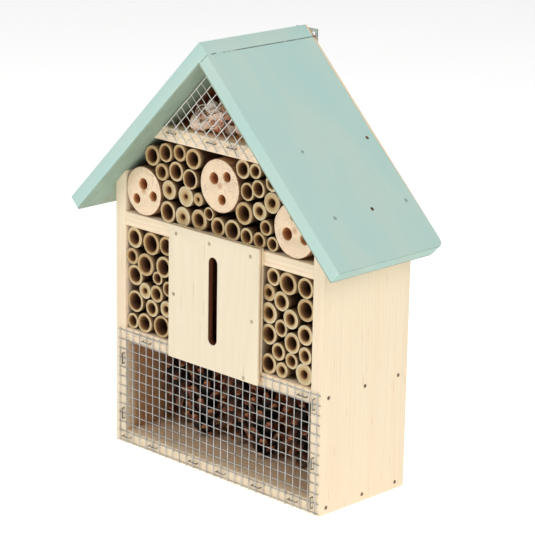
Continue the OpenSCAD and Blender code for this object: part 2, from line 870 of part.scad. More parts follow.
// Half the width of a cone at a share of its height from the base.
function cone_r(share) = cone_d / 2 * pow(sin(180 * (0.12 + 0.80 * pow(share, 0.8))), 0.7);

// A cone standing on its base, in tiers that lean outwards and up.
module pine_cone_solid() {
    tier = cone_h / cone_tiers;
    rotate_extrude() polygon(concat(
        [[0, 0]],
        [
            for (i = [0:cone_tiers - 1])
                each [
                    [cone_r(i / cone_tiers) - cone_groove, i * tier],
                    [cone_r((i + 0.5) / cone_tiers), (i + 0.7) * tier]
                ]
        ],
        [[0, cone_h]]
    ));
}

// How far back the row of cones stands, as a share of the depth, and how far a cone stands out of it.
cone_row_share = 0.49;
cone_out_of_row = [-3, 2];

// The cones stand in a row behind the mesh, tip up and tip down by turns.
module standing_cone(i) {
    spacing = 2 * inner_x / cone_count;
    color(cone_brown) placed()
        translate([
            -inner_x + spacing * (i - 0.5),
            inner_d * cone_row_share + cone_out_of_row[i % 2],
            board_t + (i % 2 == 0 ? 0 : cone_h)
        ])
            rotate([i % 2 == 0 ? 0 : 180, 0, 0])
                pine_cone_solid();
}

module pine_cone_1() {
    standing_cone(1);
}

module pine_cone_2() {
    standing_cone(2);
}

module pine_cone_3() {
    standing_cone(3);
}

module pine_cone_4() {
    standing_cone(4);
}

module pine_cone_5() {
    standing_cone(5);
}

module pine_cone_6() {
    standing_cone(6);
}

// ---- shavings ----

// One tuft; its place over the attic shelf and its size are counted in the largest tuft's radius.
module tuft(across, back, up, size) {
    translate([across, back, up] * shavings_r + [0, 0, attic_z + board_t]) sphere(r = size * shavings_r);
}

// A heap in the attic, close behind the mesh: three tufts cut level by the shelf under them.
module wood_shavings() {
    floor_z = attic_z + board_t;
    color(shaving_pink) placed() difference() {
        union() {
            tuft(-0.9, 1.25, 0.7, 1);
            tuft(-1.6, 1.1, 0.4, 0.8);
            tuft(0.5, 1.5, 0.3, 0.75);
        }
        translate([-past / 2, -past / 2, floor_z - past]) cube(past);
    }
}

left_wall();
right_wall();
bottom_board();
lower_shelf();
upper_shelf();
attic_shelf();
left_divider();
right_divider();
back_panel();
front_panel();
roof_left_panel();
roof_right_panel();
lower_mesh();
attic_mesh();
lower_mesh_staples();
attic_mesh_staples();
wall_nails();
roof_nails();
ridge_nails();
front_panel_pins();
back_panel_pins();
hanger_plate();
hanger_screws();
log_left();
log_middle();
log_right();
left_canes_lower();
left_canes_middle();
left_canes_upper();
right_canes_lower();
right_canes_middle();
right_canes_upper();
top_canes_lower();
top_canes_middle();
top_canes_upper();
pine_cone_1();
pine_cone_2();
pine_cone_3();
pine_cone_4();
pine_cone_5();
pine_cone_6();
wood_shavings();
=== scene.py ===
"""Insect hotel: a pine case with a painted roof, and canes, logs, cones and shavings behind wire mesh.

Each sub-assembly is a class that holds its sizes and builds and dresses its own meshes. Every length
is in metres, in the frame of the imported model: +Z up, the front facing -Y, the origin under the
middle of the box.
"""

from __future__ import annotations

import logging
import math
import random
from dataclasses import dataclass, field
from enum import Enum
from typing import Any, Callable, Iterable, Sequence, Union

import bmesh
import bpy
from mathutils import Euler, Matrix, Vector, noise


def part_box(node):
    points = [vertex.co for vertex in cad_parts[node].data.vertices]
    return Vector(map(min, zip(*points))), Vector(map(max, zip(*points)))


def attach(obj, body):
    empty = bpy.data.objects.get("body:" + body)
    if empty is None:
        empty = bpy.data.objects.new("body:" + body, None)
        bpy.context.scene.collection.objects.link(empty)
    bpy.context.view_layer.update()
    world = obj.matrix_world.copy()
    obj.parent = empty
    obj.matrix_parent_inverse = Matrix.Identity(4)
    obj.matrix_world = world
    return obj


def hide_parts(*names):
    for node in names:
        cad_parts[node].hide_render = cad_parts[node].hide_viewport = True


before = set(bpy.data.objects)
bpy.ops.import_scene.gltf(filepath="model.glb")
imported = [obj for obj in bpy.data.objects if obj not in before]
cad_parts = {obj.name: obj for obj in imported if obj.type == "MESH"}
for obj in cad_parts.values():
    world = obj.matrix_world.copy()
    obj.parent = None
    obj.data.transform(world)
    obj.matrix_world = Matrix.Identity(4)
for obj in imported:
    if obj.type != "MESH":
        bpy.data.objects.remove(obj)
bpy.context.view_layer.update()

MM = 0.001
BODY = "root"
UP = Vector((0.0, 0.0, 1.0))
BACKWARD = Vector((0.0, 1.0, 0.0))
ACROSS = Vector((1.0, 0.0, 0.0))
ORIGIN = Vector((0.0, 0.0, 0.0))
FULL_TURN = 2 * math.pi
GOLDEN_ANGLE = math.radians(137.508)

log = logging.getLogger("insect_hotel")

Colour = tuple[float, float, float]
Number = Union["Signal", float]


def dye(red: int, green: int, blue: int) -> Colour:
    """Turns a colour on a 0 to 255 display scale into the linear values that shaders use.

    Args:
        red: Red on the display scale.
        green: Green on the display scale.
        blue: Blue on the display scale.

    Returns:
        The linear red, green and blue.
    """

    def straighten(level: float) -> float:
        """Undoes the display curve on one channel."""
        return level / 12.92 if level <= 0.04045 else ((level + 0.055) / 1.055) ** 2.4

    return straighten(red / 255), straighten(green / 255), straighten(blue / 255)


# ---------------------------------------------------------------- surface recipes


class Signal:
    """A value that varies over a surface. Arithmetic on it adds Math nodes to its recipe."""

    def __init__(self, recipe: "Recipe", socket: bpy.types.NodeSocket) -> None:
        """Keeps the socket and the recipe that it belongs to."""
        self.recipe = recipe
        self.socket = socket

    def _math(self, operation: str, *values: Number) -> "Signal":
        """Adds one Math node that works on the values."""
        return self.recipe.node("ShaderNodeMath", {"operation": operation}, dict(enumerate(values)))

    def __add__(self, other: Number) -> "Signal":
        """self + other."""
        return self._math("ADD", self, other)

    __radd__ = __add__

    def __sub__(self, other: Number) -> "Signal":
        """self - other."""
        return self._math("SUBTRACT", self, other)

    def __rsub__(self, other: Number) -> "Signal":
        """other - self."""
        return self._math("SUBTRACT", other, self)

    def __mul__(self, other: Number) -> "Signal":
        """self * other."""
        return self._math("MULTIPLY", self, other)

    __rmul__ = __mul__

    def __truediv__(self, other: Number) -> "Signal":
        """self / other."""
        return self._math("DIVIDE", self, other)

    def __rtruediv__(self, other: Number) -> "Signal":
        """other / self."""
        return self._math("DIVIDE", other, self)

    def __pow__(self, other: Number) -> "Signal":
        """self ** other."""
        return self._math("POWER", self, other)

    def __abs__(self) -> "Signal":
        """The size of the value, without its sign."""
        return self._math("ABSOLUTE", self)

    def fraction(self) -> "Signal":
        """What is left above the whole number below the value."""
        return self._math("FRACT", self)

    def least(self, other: Number) -> "Signal":
        """The smaller of the two values."""
        return self._math("MINIMUM", self, other)

    def most(self, other: Number) -> "Signal":
        """The larger of the two values."""
        return self._math("MAXIMUM", self, other)

    def rise(self, low: float, high: float) -> "Signal":
        """A smooth step from 0 at low to 1 at high.

        Args:
            low: The value at which the step starts.
            high: The value at which the step ends. It may be below low, and the step then falls.

        Returns:
            The step, between 0 and 1.
        """
        if high < low:
            return 1 - self.rise(high, low)
        return self.recipe.node(
            "ShaderNodeMapRange",
            {"interpolation_type": "SMOOTHSTEP"},
            {"Value": self, "From Min": low, "From Max": high, "To Min": 0.0, "To Max": 1.0},
        )


class Recipe:
    """The nodes of one material, built up call by call."""

    def __init__(self, name: str) -> None:
        """Starts an empty material with one Principled shader.

        Args:
            name: The material's name.
        """
        self.material = bpy.data.materials.new(name)
        self.material.use_nodes = True
        self.tree = self.material.node_tree
        self.shader = self.tree.nodes["Principled BSDF"]

    @classmethod
    def for_world(cls, world: bpy.types.World) -> "Recipe":
        """Starts a recipe on the nodes of the surroundings.

        Args:
            world: The surroundings, with nodes in use.

        Returns:
            The recipe, whose shader is the background.
        """
        made = cls.__new__(cls)
        made.tree = world.node_tree
        made.shader = made.tree.nodes["Background"]
        return made

    def node(
        self,
        kind: str,
        settings: dict[str, Any] | None = None,
        sockets: dict[Any, Any] | None = None,
        output: str | int = 0,
    ) -> Signal:
        """Adds one node of any type.

        Args:
            kind: The node's type name.
            settings: The node's own settings, set before its sockets. "stops" fills a colour ramp.
            sockets: What goes into each socket, by name or place: a number, a colour, a vector or a Signal.
            output: The name or place of the socket that comes out.

        Returns:
            The node's output as a Signal.
        """
        made = self.tree.nodes.new(kind)
        for key, value in (settings or {}).items():
            if key == "stops":
                self._fill_ramp(made.color_ramp, value)
            else:
                setattr(made, key, value)
        for key, value in (sockets or {}).items():
            if isinstance(value, Signal):
                self.tree.links.new(value.socket, made.inputs[key])
            else:
                made.inputs[key].default_value = value
        return Signal(self, made.outputs[output])

    @staticmethod
    def _fill_ramp(ramp: bpy.types.ColorRamp, stops: Sequence[tuple[float, Colour]]) -> None:
        """Sets the stops of a colour ramp.

        Args:
            ramp: The ramp to fill.
            stops: Each stop's place from 0 to 1 and its colour.
        """
        while len(ramp.elements) < len(stops):
            ramp.elements.new(1.0)
        for element, (place, colour) in zip(ramp.elements, stops):
            element.position = place
            element.color = (*colour, 1.0)

    def place(
        self,
        turn: tuple[float, float, float] = (0.0, 0.0, 0.0),
        shift: tuple[float, float, float] = (0.0, 0.0, 0.0),
        stretch: tuple[float, float, float] = (1.0, 1.0, 1.0),
    ) -> Signal:
        """The place of a point on the piece, turned, moved and stretched.

        Args:
            turn: The turn about X, Y and Z, in radians.
            shift: What is added after the turn, in metres.
            stretch: What each part of the place is first multiplied by.

        Returns:
            The place as a vector.
        """
        here = self.node("ShaderNodeTexCoord", output="Object")
        return self.node(
            "ShaderNodeMapping",
            {"vector_type": "POINT"},
            {"Vector": here, "Rotation": turn, "Location": shift, "Scale": stretch},
        )

    def stretched(self, vector: Signal, stretch: tuple[float, float, float]) -> Signal:
        """The vector with each part multiplied by its own number."""
        return self.node("ShaderNodeVectorMath", {"operation": "MULTIPLY"}, {0: vector, 1: stretch})

    def parts(self, vector: Signal) -> tuple[Signal, Signal, Signal]:
        """The three parts of a vector."""
        split = self.node("ShaderNodeSeparateXYZ", sockets={0: vector})
        outs = split.socket.node.outputs
        return Signal(self, outs[0]), Signal(self, outs[1]), Signal(self, outs[2])

    def away(self, vector: Signal, centre: tuple[float, float, float]) -> Signal:
        """How far a place is from a centre."""
        return self.node("ShaderNodeVectorMath", {"operation": "DISTANCE"}, {0: vector, 1: centre}, "Value")

    def cloud(self, vector: Signal, scale: float, detail: float = 3.0, rough: float = 0.55) -> Signal:
        """A soft random pattern between 0 and 1.

        Args:
            vector: The place that the pattern is read at.
            scale: How many lumps there are in a metre of the vector.
            detail: How many finer layers are added.
            rough: How strong the finer layers are.

        Returns:
            The pattern, about 0.5 on average.
        """
        values = {"Vector": vector, "Scale": scale, "Detail": detail, "Roughness": rough}
        return self.node("ShaderNodeTexNoise", sockets=values, output=0)

    def cells(self, vector: Signal, scale: float) -> Signal:
        """The distance from the nearest of many scattered points, for pores and spangle."""
        return self.node("ShaderNodeTexVoronoi", {"feature": "F1"}, {"Vector": vector, "Scale": scale})

    def stored(self, name: str) -> Signal:
        """A number stored on the piece's vertices under this name."""
        return self.node("ShaderNodeAttribute", {"attribute_name": name}, output="Fac")

    def ramp(self, value: Signal, stops: Sequence[tuple[float, Colour]]) -> Signal:
        """The colour for a value, from a row of stops."""
        return self.node("ShaderNodeValToRGB", {"stops": stops}, {"Fac": value}, "Color")

    def blend(self, base: Signal | Colour, top: Signal | Colour, amount: Number, mode: str = "MIX") -> Signal:
        """Lays one colour over another.

        Args:
            base: The colour underneath.
            top: The colour laid over it.
            amount: How much of the top shows, from 0 to 1.
            mode: How the two combine, such as MIX or MULTIPLY.

        Returns:
            The colour that results.
        """
        settings = {"data_type": "RGBA", "blend_type": mode, "clamp_factor": True}
        values = {
            0: amount,
            6: base if isinstance(base, Signal) else (*base, 1.0),
            7: top if isinstance(top, Signal) else (*top, 1.0),
        }
        return self.node("ShaderNodeMix", settings, values, 2)

    def relief(self, height: Signal, depth: float, strength: float = 1.0) -> Signal:
        """A bumpy normal from a height pattern.

        Args:
            height: The pattern, from 0 for low to 1 for high.
            depth: How far low lies under high, in metres.
            strength: How much of the bump shows.

        Returns:
            The normal to give to the shader.
        """
        values = {"Height": height, "Distance": depth, "Strength": strength}
        return self.node("ShaderNodeBump", sockets=values)

    def dress(self, **sockets: Any) -> bpy.types.Material:
        """Sets the shader's sockets and ends the recipe.

        Args:
            **sockets: Socket names with _ for a space, each with a constant or a Signal.

        Returns:
            The finished material.
        """
        for key, value in sockets.items():
            socket = self.shader.inputs[key.replace("_", " ")]
            if isinstance(value, Signal):
                self.tree.links.new(value.socket, socket)
            else:
                socket.default_value = value
        return self.material


class Grain(Enum):
    """Which way the grain of a board runs, as the turn that lays it along Z."""

    UPRIGHT = (0.0, 0.0, 0.0)
    ACROSS = (0.0, -math.pi / 2, 0.0)
    DOWN_TO_RIGHT = (0.0, -math.radians(135), 0.0)
    DOWN_TO_LEFT = (0.0, math.radians(135), 0.0)


@dataclass(frozen=True)
class Timber:
    """Bare sawn softwood: growth rings round a heart that lies outside the board, fibres, pores and tone,
    with painted shade on the faces inside the case.

    Args:
        name: The material's name.
        grain: Which way the grain runs.
        heart: Where the tree's heart lay, across the grain, from the origin.
        inner_shade: How far the faces inside the case have browned, from 0 to 1.
        inside: How far from the middle, along X, the inside of the case ends.
        mouth: Where the front of the case is, along Y.
        pale: The colour of the early wood.
        mid: The colour between.
        dark: The colour of the late wood.
        ring: The width of one year's ring.
        ring_share: How strongly the rings show.
        tone: How strongly the broad patches of tone show.
    """

    name: str
    grain: Grain
    heart: tuple[float, float] = (0.09, 0.05)
    inner_shade: float = 0.5
    inside: float = 1.0
    mouth: float = 0.0
    pale: Colour = dye(252, 234, 204)
    mid: Colour = dye(249, 222, 186)
    dark: Colour = dye(236, 194, 148)
    ring: float = 2.7 * MM
    ring_share: float = 0.32
    tone: float = 0.5

    def material(self) -> bpy.types.Material:
        """Builds the material.

        Returns:
            The finished material.
        """
        r = Recipe(self.name)
        here = r.place(turn=self.grain.value, shift=(*self.heart, 0.0))
        drift = r.cloud(r.stretched(here, (1.0, 1.0, 0.16)), 26.0, 2.0)
        side, deep, _ = r.parts(here)
        reach = (side * side + deep * deep) ** 0.5
        year = ((reach + drift * 0.011) / self.ring).fraction()
        late = year.rise(0.30, 0.86) * year.rise(1.0, 0.90)
        fibre = r.cloud(r.stretched(here, (1.0, 1.0, 0.018)), 1500.0, 4.0, 0.62)
        streak = r.cloud(r.stretched(here, (1.0, 1.0, 0.03)), 210.0, 3.0, 0.6)
        broad = r.cloud(r.stretched(here, (1.0, 1.0, 0.2)), 30.0, 2.0)
        pore = r.cells(r.stretched(here, (1.0, 1.0, 0.07)), 420.0).rise(0.16, 0.05)
        depth = late * self.ring_share * (0.35 + 0.9 * streak) + (streak - 0.5) * 0.42 + (fibre - 0.5) * 0.35
        hue = r.ramp(depth.most(0.0), [(0.0, self.pale), (0.32, self.mid), (1.0, self.dark)])
        hue = r.blend(hue, dye(250, 214, 182), broad.rise(0.45, 0.75) * self.tone * 0.6)
        dash = r.cells(r.stretched(here, (1.0, 1.0, 0.10)), 260.0).rise(0.13, 0.05)
        hue = r.blend(hue, dye(205, 160, 112), pore * 0.28)
        hue = r.blend(hue, dye(226, 168, 134), dash * 0.42)
        over, back, _ = r.parts(r.place())
        # Painted shade: faces inside the case are darkened, fading in from just behind the front.
        inside_shade_mask = (self.inside - abs(over)).rise(0.0, 0.4 * MM)
        inside_shade_mask = back.rise(self.mouth + 1 * MM, self.mouth + 12 * MM) * inside_shade_mask
        hue = r.blend(hue, dye(180, 136, 96), inside_shade_mask * self.inner_shade, "MULTIPLY")
        height = late * 0.5 + fibre * 0.5 - pore * 0.4
        return r.dress(
            Base_Color=hue,
            Roughness=0.66 + 0.16 * fibre - 0.10 * late,
            Normal=r.relief(height, 0.25 * MM, 0.55),
            Specular_IOR_Level=0.32,
        )


@dataclass(frozen=True)
class Veneer:
    """Thin plywood: a pale wide-figured face with a darker crosswise ply showing at its edges, and painted
    shade on its front face inside the case and round a slot.

    Args:
        name: The material's name.
        front: Where the sheet's front face is, along Y.
        thickness: How thick the sheet is.
        inner_face_shade: How much painted shade darkens its front face, where it looks into the case, from 0
            to 1.
        slot: The lowest and highest Z of a slot, between which its walls and the sheet's rear face beside it
            are darkened as painted shade.
    """

    name: str
    front: float
    thickness: float
    inner_face_shade: float = 0.0
    slot: tuple[float, float] = (0.0, 0.0)

    def material(self) -> bpy.types.Material:
        """Builds the material.

        Returns:
            The finished material.
        """
        r = Recipe(self.name)
        here = r.place(shift=(0.19, 0.33, 0.0))
        drift = r.cloud(r.stretched(here, (1.0, 1.0, 0.22)), 15.0, 2.0)
        side, _, _ = r.parts(here)
        year = ((side + drift * (75 * MM)) / (8.5 * MM)).fraction()
        late = year.rise(0.25, 0.8) * year.rise(1.0, 0.88)
        fibre = r.cloud(r.stretched(here, (1.0, 1.0, 0.02)), 1300.0, 4.0, 0.6)
        flake = r.cells(r.stretched(here, (1.0, 1.0, 0.05)), 330.0).rise(0.15, 0.04)
        straight = r.cloud(r.stretched(here, (1.0, 1.0, 0.012)), 300.0, 3.0)
        depth = late * 0.07 + (fibre - 0.5) * 0.20 + (straight - 0.5) * 0.16 + 0.20
        hue = r.ramp(
            depth.most(0.0),
            [(0.0, dye(249, 237, 211)), (0.5, dye(243, 226, 193)), (1.0, dye(226, 200, 158))],
        )
        hue = r.blend(hue, dye(198, 160, 112), flake * 0.35)
        _, back, _ = r.parts(r.place(shift=(0.0, -self.front, 0.0)))
        core = back.rise(self.thickness * 0.30, self.thickness * 0.36)
        core = core * back.rise(self.thickness * 0.70, self.thickness * 0.64)
        hue = r.blend(hue, dye(196, 152, 104), core * 0.75)
        # Painted shade: the front face is darkened where the sheet looks into the case.
        hue = r.blend(hue, dye(176, 106, 62), back.rise(0.4 * MM, 0.1 * MM) * self.inner_face_shade, "MULTIPLY")
        if self.slot[1] > self.slot[0]:
            over, _, up = r.parts(r.place())
            foot, head = self.slot
            # Painted shade: the slot's walls and the rear face beside it are darkened.
            slot_shade = abs(over).rise(12 * MM, 10 * MM) * back.rise(0.25 * MM, 0.5 * MM)
            slot_shade = slot_shade * up.rise(foot, foot + 1 * MM) * up.rise(head, head - 1 * MM)
            hue = r.blend(hue, dye(112, 62, 34), slot_shade)
        return r.dress(
            Base_Color=hue,
            Roughness=0.62 + 0.18 * fibre,
            Normal=r.relief(fibre * 0.6 + late * 0.4 - core * 0.8, 0.2 * MM, 0.5),
            Specular_IOR_Level=0.34,
        )


@dataclass(frozen=True)
class ChalkPaint:
    """Thin matt mint paint on pine: streaks down the slope, the grain under it, worn arrises and a bled knot,
    with painted shade on the lower face, darker eave ends, and bare wood painted dark as shade inside the
    attic.

    Args:
        name: The material's name.
        grain: Which way the board runs.
        worn_back: The Y of the board's rear face, where its top arris is rubbed bare.
        worn_under: How low the bare arris reaches before it fades, along Z.
        worn_top: How high the bare arris is at its widest, along Z.
        knot: The centre of the knot that has bled through.
        seam: How far down the right slope the lap joint lies, as (X - Z) / sqrt 2.
        seam_foot: How low on the board's end the joint shows, along Z.
        underside: Where the board's lower face is, as (|X| + Z) / sqrt 2.
        gable: The Y of the case's front, a little behind which the lower face is bare wood painted dark as
            shade.
        wall: How far from the middle the walls are, beyond which it was painted.
        eave: Where the end faces at the eave are, as (|X| - Z) / sqrt 2.
    """

    name: str
    grain: Grain
    worn_back: float
    worn_under: float
    worn_top: float
    knot: tuple[float, float, float]
    seam: float
    seam_foot: float
    underside: float
    gable: float
    wall: float
    eave: float

    def material(self) -> bpy.types.Material:
        """Builds the material.

        Returns:
            The finished material.
        """
        r = Recipe(self.name)
        here = r.place(turn=self.grain.value)
        streak = r.cloud(r.stretched(here, (1.0, 1.0, 0.12)), 60.0, 3.0, 0.5)
        broad = r.cloud(r.stretched(here, (1.0, 1.0, 0.45)), 26.0, 2.0)
        bristle = r.cloud(r.stretched(here, (1.0, 1.0, 0.02)), 900.0, 3.0, 0.6)
        speck = r.cells(here, 300.0).rise(0.10, 0.03)
        side = (broad * 0.6 + streak * 0.4).rise(0.40, 0.62)
        hue = r.blend(dye(198, 222, 211), dye(185, 220, 213), side * 0.85)
        hue = r.blend(hue, dye(210, 228, 219), (bristle - 0.5).most(0.0) * 0.8)
        hue = r.blend(hue, dye(160, 176, 164), speck * 0.25)
        over, back, up = r.parts(r.place())
        rub = r.cloud(r.place(stretch=(1.0, 1.0, 0.3)), 110.0, 3.0)
        reach = 1.6 * MM * up.rise(self.worn_under, self.worn_top) * (0.3 + 1.2 * rub)
        bare = (back + reach - self.worn_back).rise(-0.2 * MM, 0.2 * MM)
        hue = r.blend(hue, dye(244, 221, 184), bare)
        bleed = r.away(r.place(), self.knot).rise(3.6 * MM, 1 * MM)
        hue = r.blend(hue, dye(160, 105, 62), bleed * 0.9)
        # Painted shade: the lower face is darkened, unevenly.
        below = ((abs(over) + up) * math.sqrt(0.5) - self.underside).rise(0.6 * MM, 0.2 * MM)
        hue = r.blend(hue, dye(200, 196, 180), below * (0.6 + 0.6 * rub), "MULTIPLY")
        # The eave end faces are darkened.
        eave_end_dark = ((abs(over) - up) * math.sqrt(0.5) - self.eave).rise(-0.6 * MM, -0.2 * MM)
        hue = r.blend(hue, dye(214, 218, 216), eave_end_dark * (0.6 + 0.4 * rub), "MULTIPLY")
        # Inside the attic the lower face is bare, unpainted wood, painted dark brown as shade.
        attic_bare_shade = (back + rub * 8 * MM).rise(self.gable + 14 * MM, self.gable + 24 * MM)
        attic_bare_shade = attic_bare_shade * abs(over).rise(self.wall, self.wall - 1 * MM)
        hue = r.blend(hue, dye(164, 100, 62), below * attic_bare_shade)
        off = abs((over - up) * math.sqrt(0.5) - self.seam)
        gaps = r.cloud(r.place(stretch=(0.2, 1.0, 0.2)), 260.0, 3.0, 0.7)
        open_part = (gaps + back.rise(-45 * MM, -5 * MM) * 0.16).rise(0.42, 0.60)
        crack = off.rise(0.55 * MM, 0.2 * MM) * open_part
        crack = crack * up.rise(self.seam_foot, self.seam_foot + 1.5 * MM)
        hue = r.blend(hue, dye(92, 104, 96), crack * 0.85)
        height = bristle * 0.5 + streak * 0.3 - bare * 0.6
        return r.dress(
            Base_Color=hue,
            Roughness=0.60 + 0.12 * bristle + 0.08 * bare,
            Normal=r.relief(height, 0.3 * MM, 0.6),
            Specular_IOR_Level=0.35,
        )


class CaneZone(Enum):
    """The parts of a cut cane, in the order of their material slots."""

    SKIN = 0
    CUT = 1
    BORE = 2


@dataclass(frozen=True)
class Cane:
    """Dried cane: a streaky tan skin painted dark as shade behind the cut end, a fibrous cut end with a pale
    rind, or a brown bore painted darker with depth as shade.

    Args:
        name: The material's name.
        zone: Which part of the cane it covers.
    """

    name: str
    zone: CaneZone

    def material(self) -> bpy.types.Material:
        """Builds the material.

        Returns:
            The finished material.
        """
        r = Recipe(self.name)
        here = r.place()
        tone = r.stored("tone")
        wall = r.stored("wall")
        depth = r.stored("depth")
        long = r.cloud(r.stretched(here, (1.0, 0.03, 1.0)), 900.0, 3.0)
        fine = r.cloud(here, 1700.0, 3.0)
        patch = r.cloud(here, 120.0, 2.0)
        if self.zone is CaneZone.SKIN:
            hue = r.ramp(
                (long - 0.5) * 0.9 + tone,
                [(0.0, dye(140, 104, 60)), (0.5, dye(178, 144, 92)), (1.0, dye(206, 178, 126))],
            )
            hue = r.blend(hue, dye(120, 84, 48), patch.rise(0.58, 0.75) * 0.5)
            # Painted shade: the skin darkens to near black within a few mm behind the cut end, where the
            # canes shade each other.
            hue = r.blend(hue, dye(150, 112, 68), depth.rise(0.0, 1.2 * MM) * 0.7)
            hue = r.blend(hue, dye(58, 36, 22), (depth * 300.0).least(1.0) * 0.9)
            return r.dress(Base_Color=hue, Roughness=0.46 + 0.2 * long, Normal=r.relief(long, 0.2 * MM, 0.5))
        if self.zone is CaneZone.CUT:
            strands = r.cells(here, 1500.0).rise(0.42, 0.2)
            body = r.ramp(
                wall,
                [
                    (0.0, dye(172, 130, 80)),
                    (0.3, dye(204, 174, 124)),
                    (0.75, dye(224, 205, 162)),
                    (1.0, dye(238, 224, 190)),
                ],
            )
            hue = r.blend(body, dye(168, 128, 76), strands * (1 - wall * 0.6) * 0.5)
            hue = r.blend(hue, dye(188, 152, 98), (tone - 0.35).most(0.0) * 0.9)
            hue = r.blend(hue, dye(140, 104, 62), patch.rise(0.62, 0.8) * 0.35)
            grit = r.relief(fine - strands * 0.5, 0.2 * MM, 0.6)
            return r.dress(Base_Color=hue, Roughness=0.7 + 0.15 * fine, Normal=grit)
        # Painted shade: the bore darkens from tan at its mouth to near black deeper in.
        shade = r.ramp(
            depth * 55.0,
            [
                (0.0, dye(176, 132, 80)),
                (0.10, dye(132, 90, 52)),
                (0.4, dye(78, 48, 29)),
                (1.0, dye(40, 23, 14)),
            ],
        )
        hue = r.blend(shade, dye(52, 30, 18), patch.rise(0.4, 0.7) * 0.4)
        return r.dress(Base_Color=hue, Roughness=0.8 + 0.1 * fine, Normal=r.relief(long, 0.2 * MM, 0.6))


class LogZone(Enum):
    """The parts of a drilled log, in the order of their material slots."""

    BARK = 0
    CUT = 1
    NEST = 2


@dataclass(frozen=True)
class LogWood:
    """A barked log slice: rings and drying checks on its ends, thin bark, or the wall of a drilled nest hole,
    painted darker with depth as shade.

    Args:
        name: The material's name.
        zone: Which part of the log it covers.
        heart: Where the log's heart is, as X and Z.
        ring: The width of one year's ring.
    """

    name: str
    zone: LogZone
    heart: tuple[float, float]
    ring: float = 1.9 * MM

    def material(self) -> bpy.types.Material:
        """Builds the material.

        Returns:
            The finished material.
        """
        r = Recipe(self.name)
        here = r.place(shift=(-self.heart[0], 0.0, -self.heart[1]))
        side, _, high = r.parts(here)
        wander = r.cloud(here, 70.0, 3.0)
        fine = r.cloud(here, 1400.0, 3.0)
        if self.zone is LogZone.BARK:
            ridge = r.cloud(r.stretched(here, (1.0, 0.25, 1.0)), 330.0, 4.0, 0.65)
            hue = r.ramp(
                ridge,
                [(0.25, dye(92, 62, 42)), (0.5, dye(146, 104, 70)), (0.75, dye(188, 148, 104))],
            )
            return r.dress(Base_Color=hue, Roughness=0.86, Normal=r.relief(ridge, 0.6 * MM, 0.8))
        if self.zone is LogZone.NEST:
            depth = r.stored("depth")
            long = r.cloud(r.stretched(here, (1.0, 0.1, 1.0)), 700.0, 3.0)
            # Painted shade: the nest hole's wall darkens from its mouth towards its far end.
            shade = r.ramp(
                depth * 40.0,
                [
                    (0.0, dye(224, 170, 118)),
                    (0.15, dye(196, 128, 76)),
                    (0.5, dye(150, 86, 48)),
                    (1.0, dye(92, 48, 28)),
                ],
            )
            hue = r.blend(shade, dye(120, 66, 36), long.rise(0.5, 0.8) * 0.5)
            return r.dress(Base_Color=hue, Roughness=0.8, Normal=r.relief(long, 0.3 * MM, 0.6))
        reach = (side * side + high * high) ** 0.5
        year = ((reach + wander * (2.2 * MM)) / self.ring).fraction()
        late = year.rise(0.3, 0.9) * year.rise(1.0, 0.93)
        saw = r.cloud(r.stretched(here, (1.0, 1.0, 0.04)), 620.0, 2.0)
        check = r.cells(r.stretched(here, (0.5, 1.0, 2.2)), 150.0).rise(0.10, 0.02)
        split = abs(r.cloud(here, 210.0, 4.0, 0.7) - 0.5).rise(0.014, 0.003) * wander.rise(0.42, 0.60)
        grime = r.cloud(here, 900.0, 3.0, 0.7).rise(0.56, 0.70)
        hue = r.ramp(
            late * 0.24 + fine * 0.3,
            [(0.0, dye(253, 231, 200)), (0.5, dye(247, 215, 177)), (1.0, dye(218, 172, 126))],
        )
        hue = r.blend(hue, dye(252, 234, 208), wander.rise(0.45, 0.75) * 0.5)
        hue = r.blend(hue, dye(196, 150, 108), grime * 0.45)
        hue = r.blend(hue, dye(134, 88, 56), split * 0.8)
        hue = r.blend(hue, dye(206, 158, 116), reach.rise(3 * MM, 0.8 * MM) * 0.7)
        hue = r.blend(hue, dye(178, 128, 88), check * 0.35 + saw.rise(0.62, 0.8) * 0.12)
        return r.dress(
            Base_Color=hue,
            Roughness=0.72 + 0.12 * fine,
            Normal=r.relief(late * 0.4 + fine * 0.5 - check * 0.5, 0.2 * MM, 0.6),
        )


@dataclass(frozen=True)
class ConeScale:
    """Weathered pine cone: near black at the root of a scale as painted shade between the scales, warm brown
    along it and tan on its tip.

    Args:
        name: The material's name.
    """

    name: str = "pine_cone_scale"

    def material(self) -> bpy.types.Material:
        """Builds the material.

        Returns:
            The finished material.
        """
        r = Recipe(self.name)
        tip = r.stored("tip")
        tone = r.stored("tone")
        here = r.place()
        mottle = r.cloud(here, 420.0, 3.0)
        fine = r.cloud(here, 1600.0, 3.0, 0.7)
        # Painted shade: the root half of each scale, deep between the scales, is near black.
        hue = r.ramp(
            tip + (mottle - 0.5) * 0.25,
            [
                (0.0, dye(8, 5, 4)),
                (0.5, dye(18, 9, 6)),
                (0.78, dye(88, 46, 29)),
                (0.94, dye(142, 82, 52)),
                (1.0, dye(206, 140, 98)),
            ],
        )
        hue = r.blend(hue, dye(150, 104, 72), (tone - 0.5).most(0.0) * tip)
        hue = r.blend(hue, dye(48, 28, 20), fine.rise(0.55, 0.8) * 0.5)
        return r.dress(
            Base_Color=hue,
            Roughness=0.62 + 0.25 * fine,
            Normal=r.relief(fine * 0.6 + mottle * 0.4, 0.5 * MM, 0.8),
        )


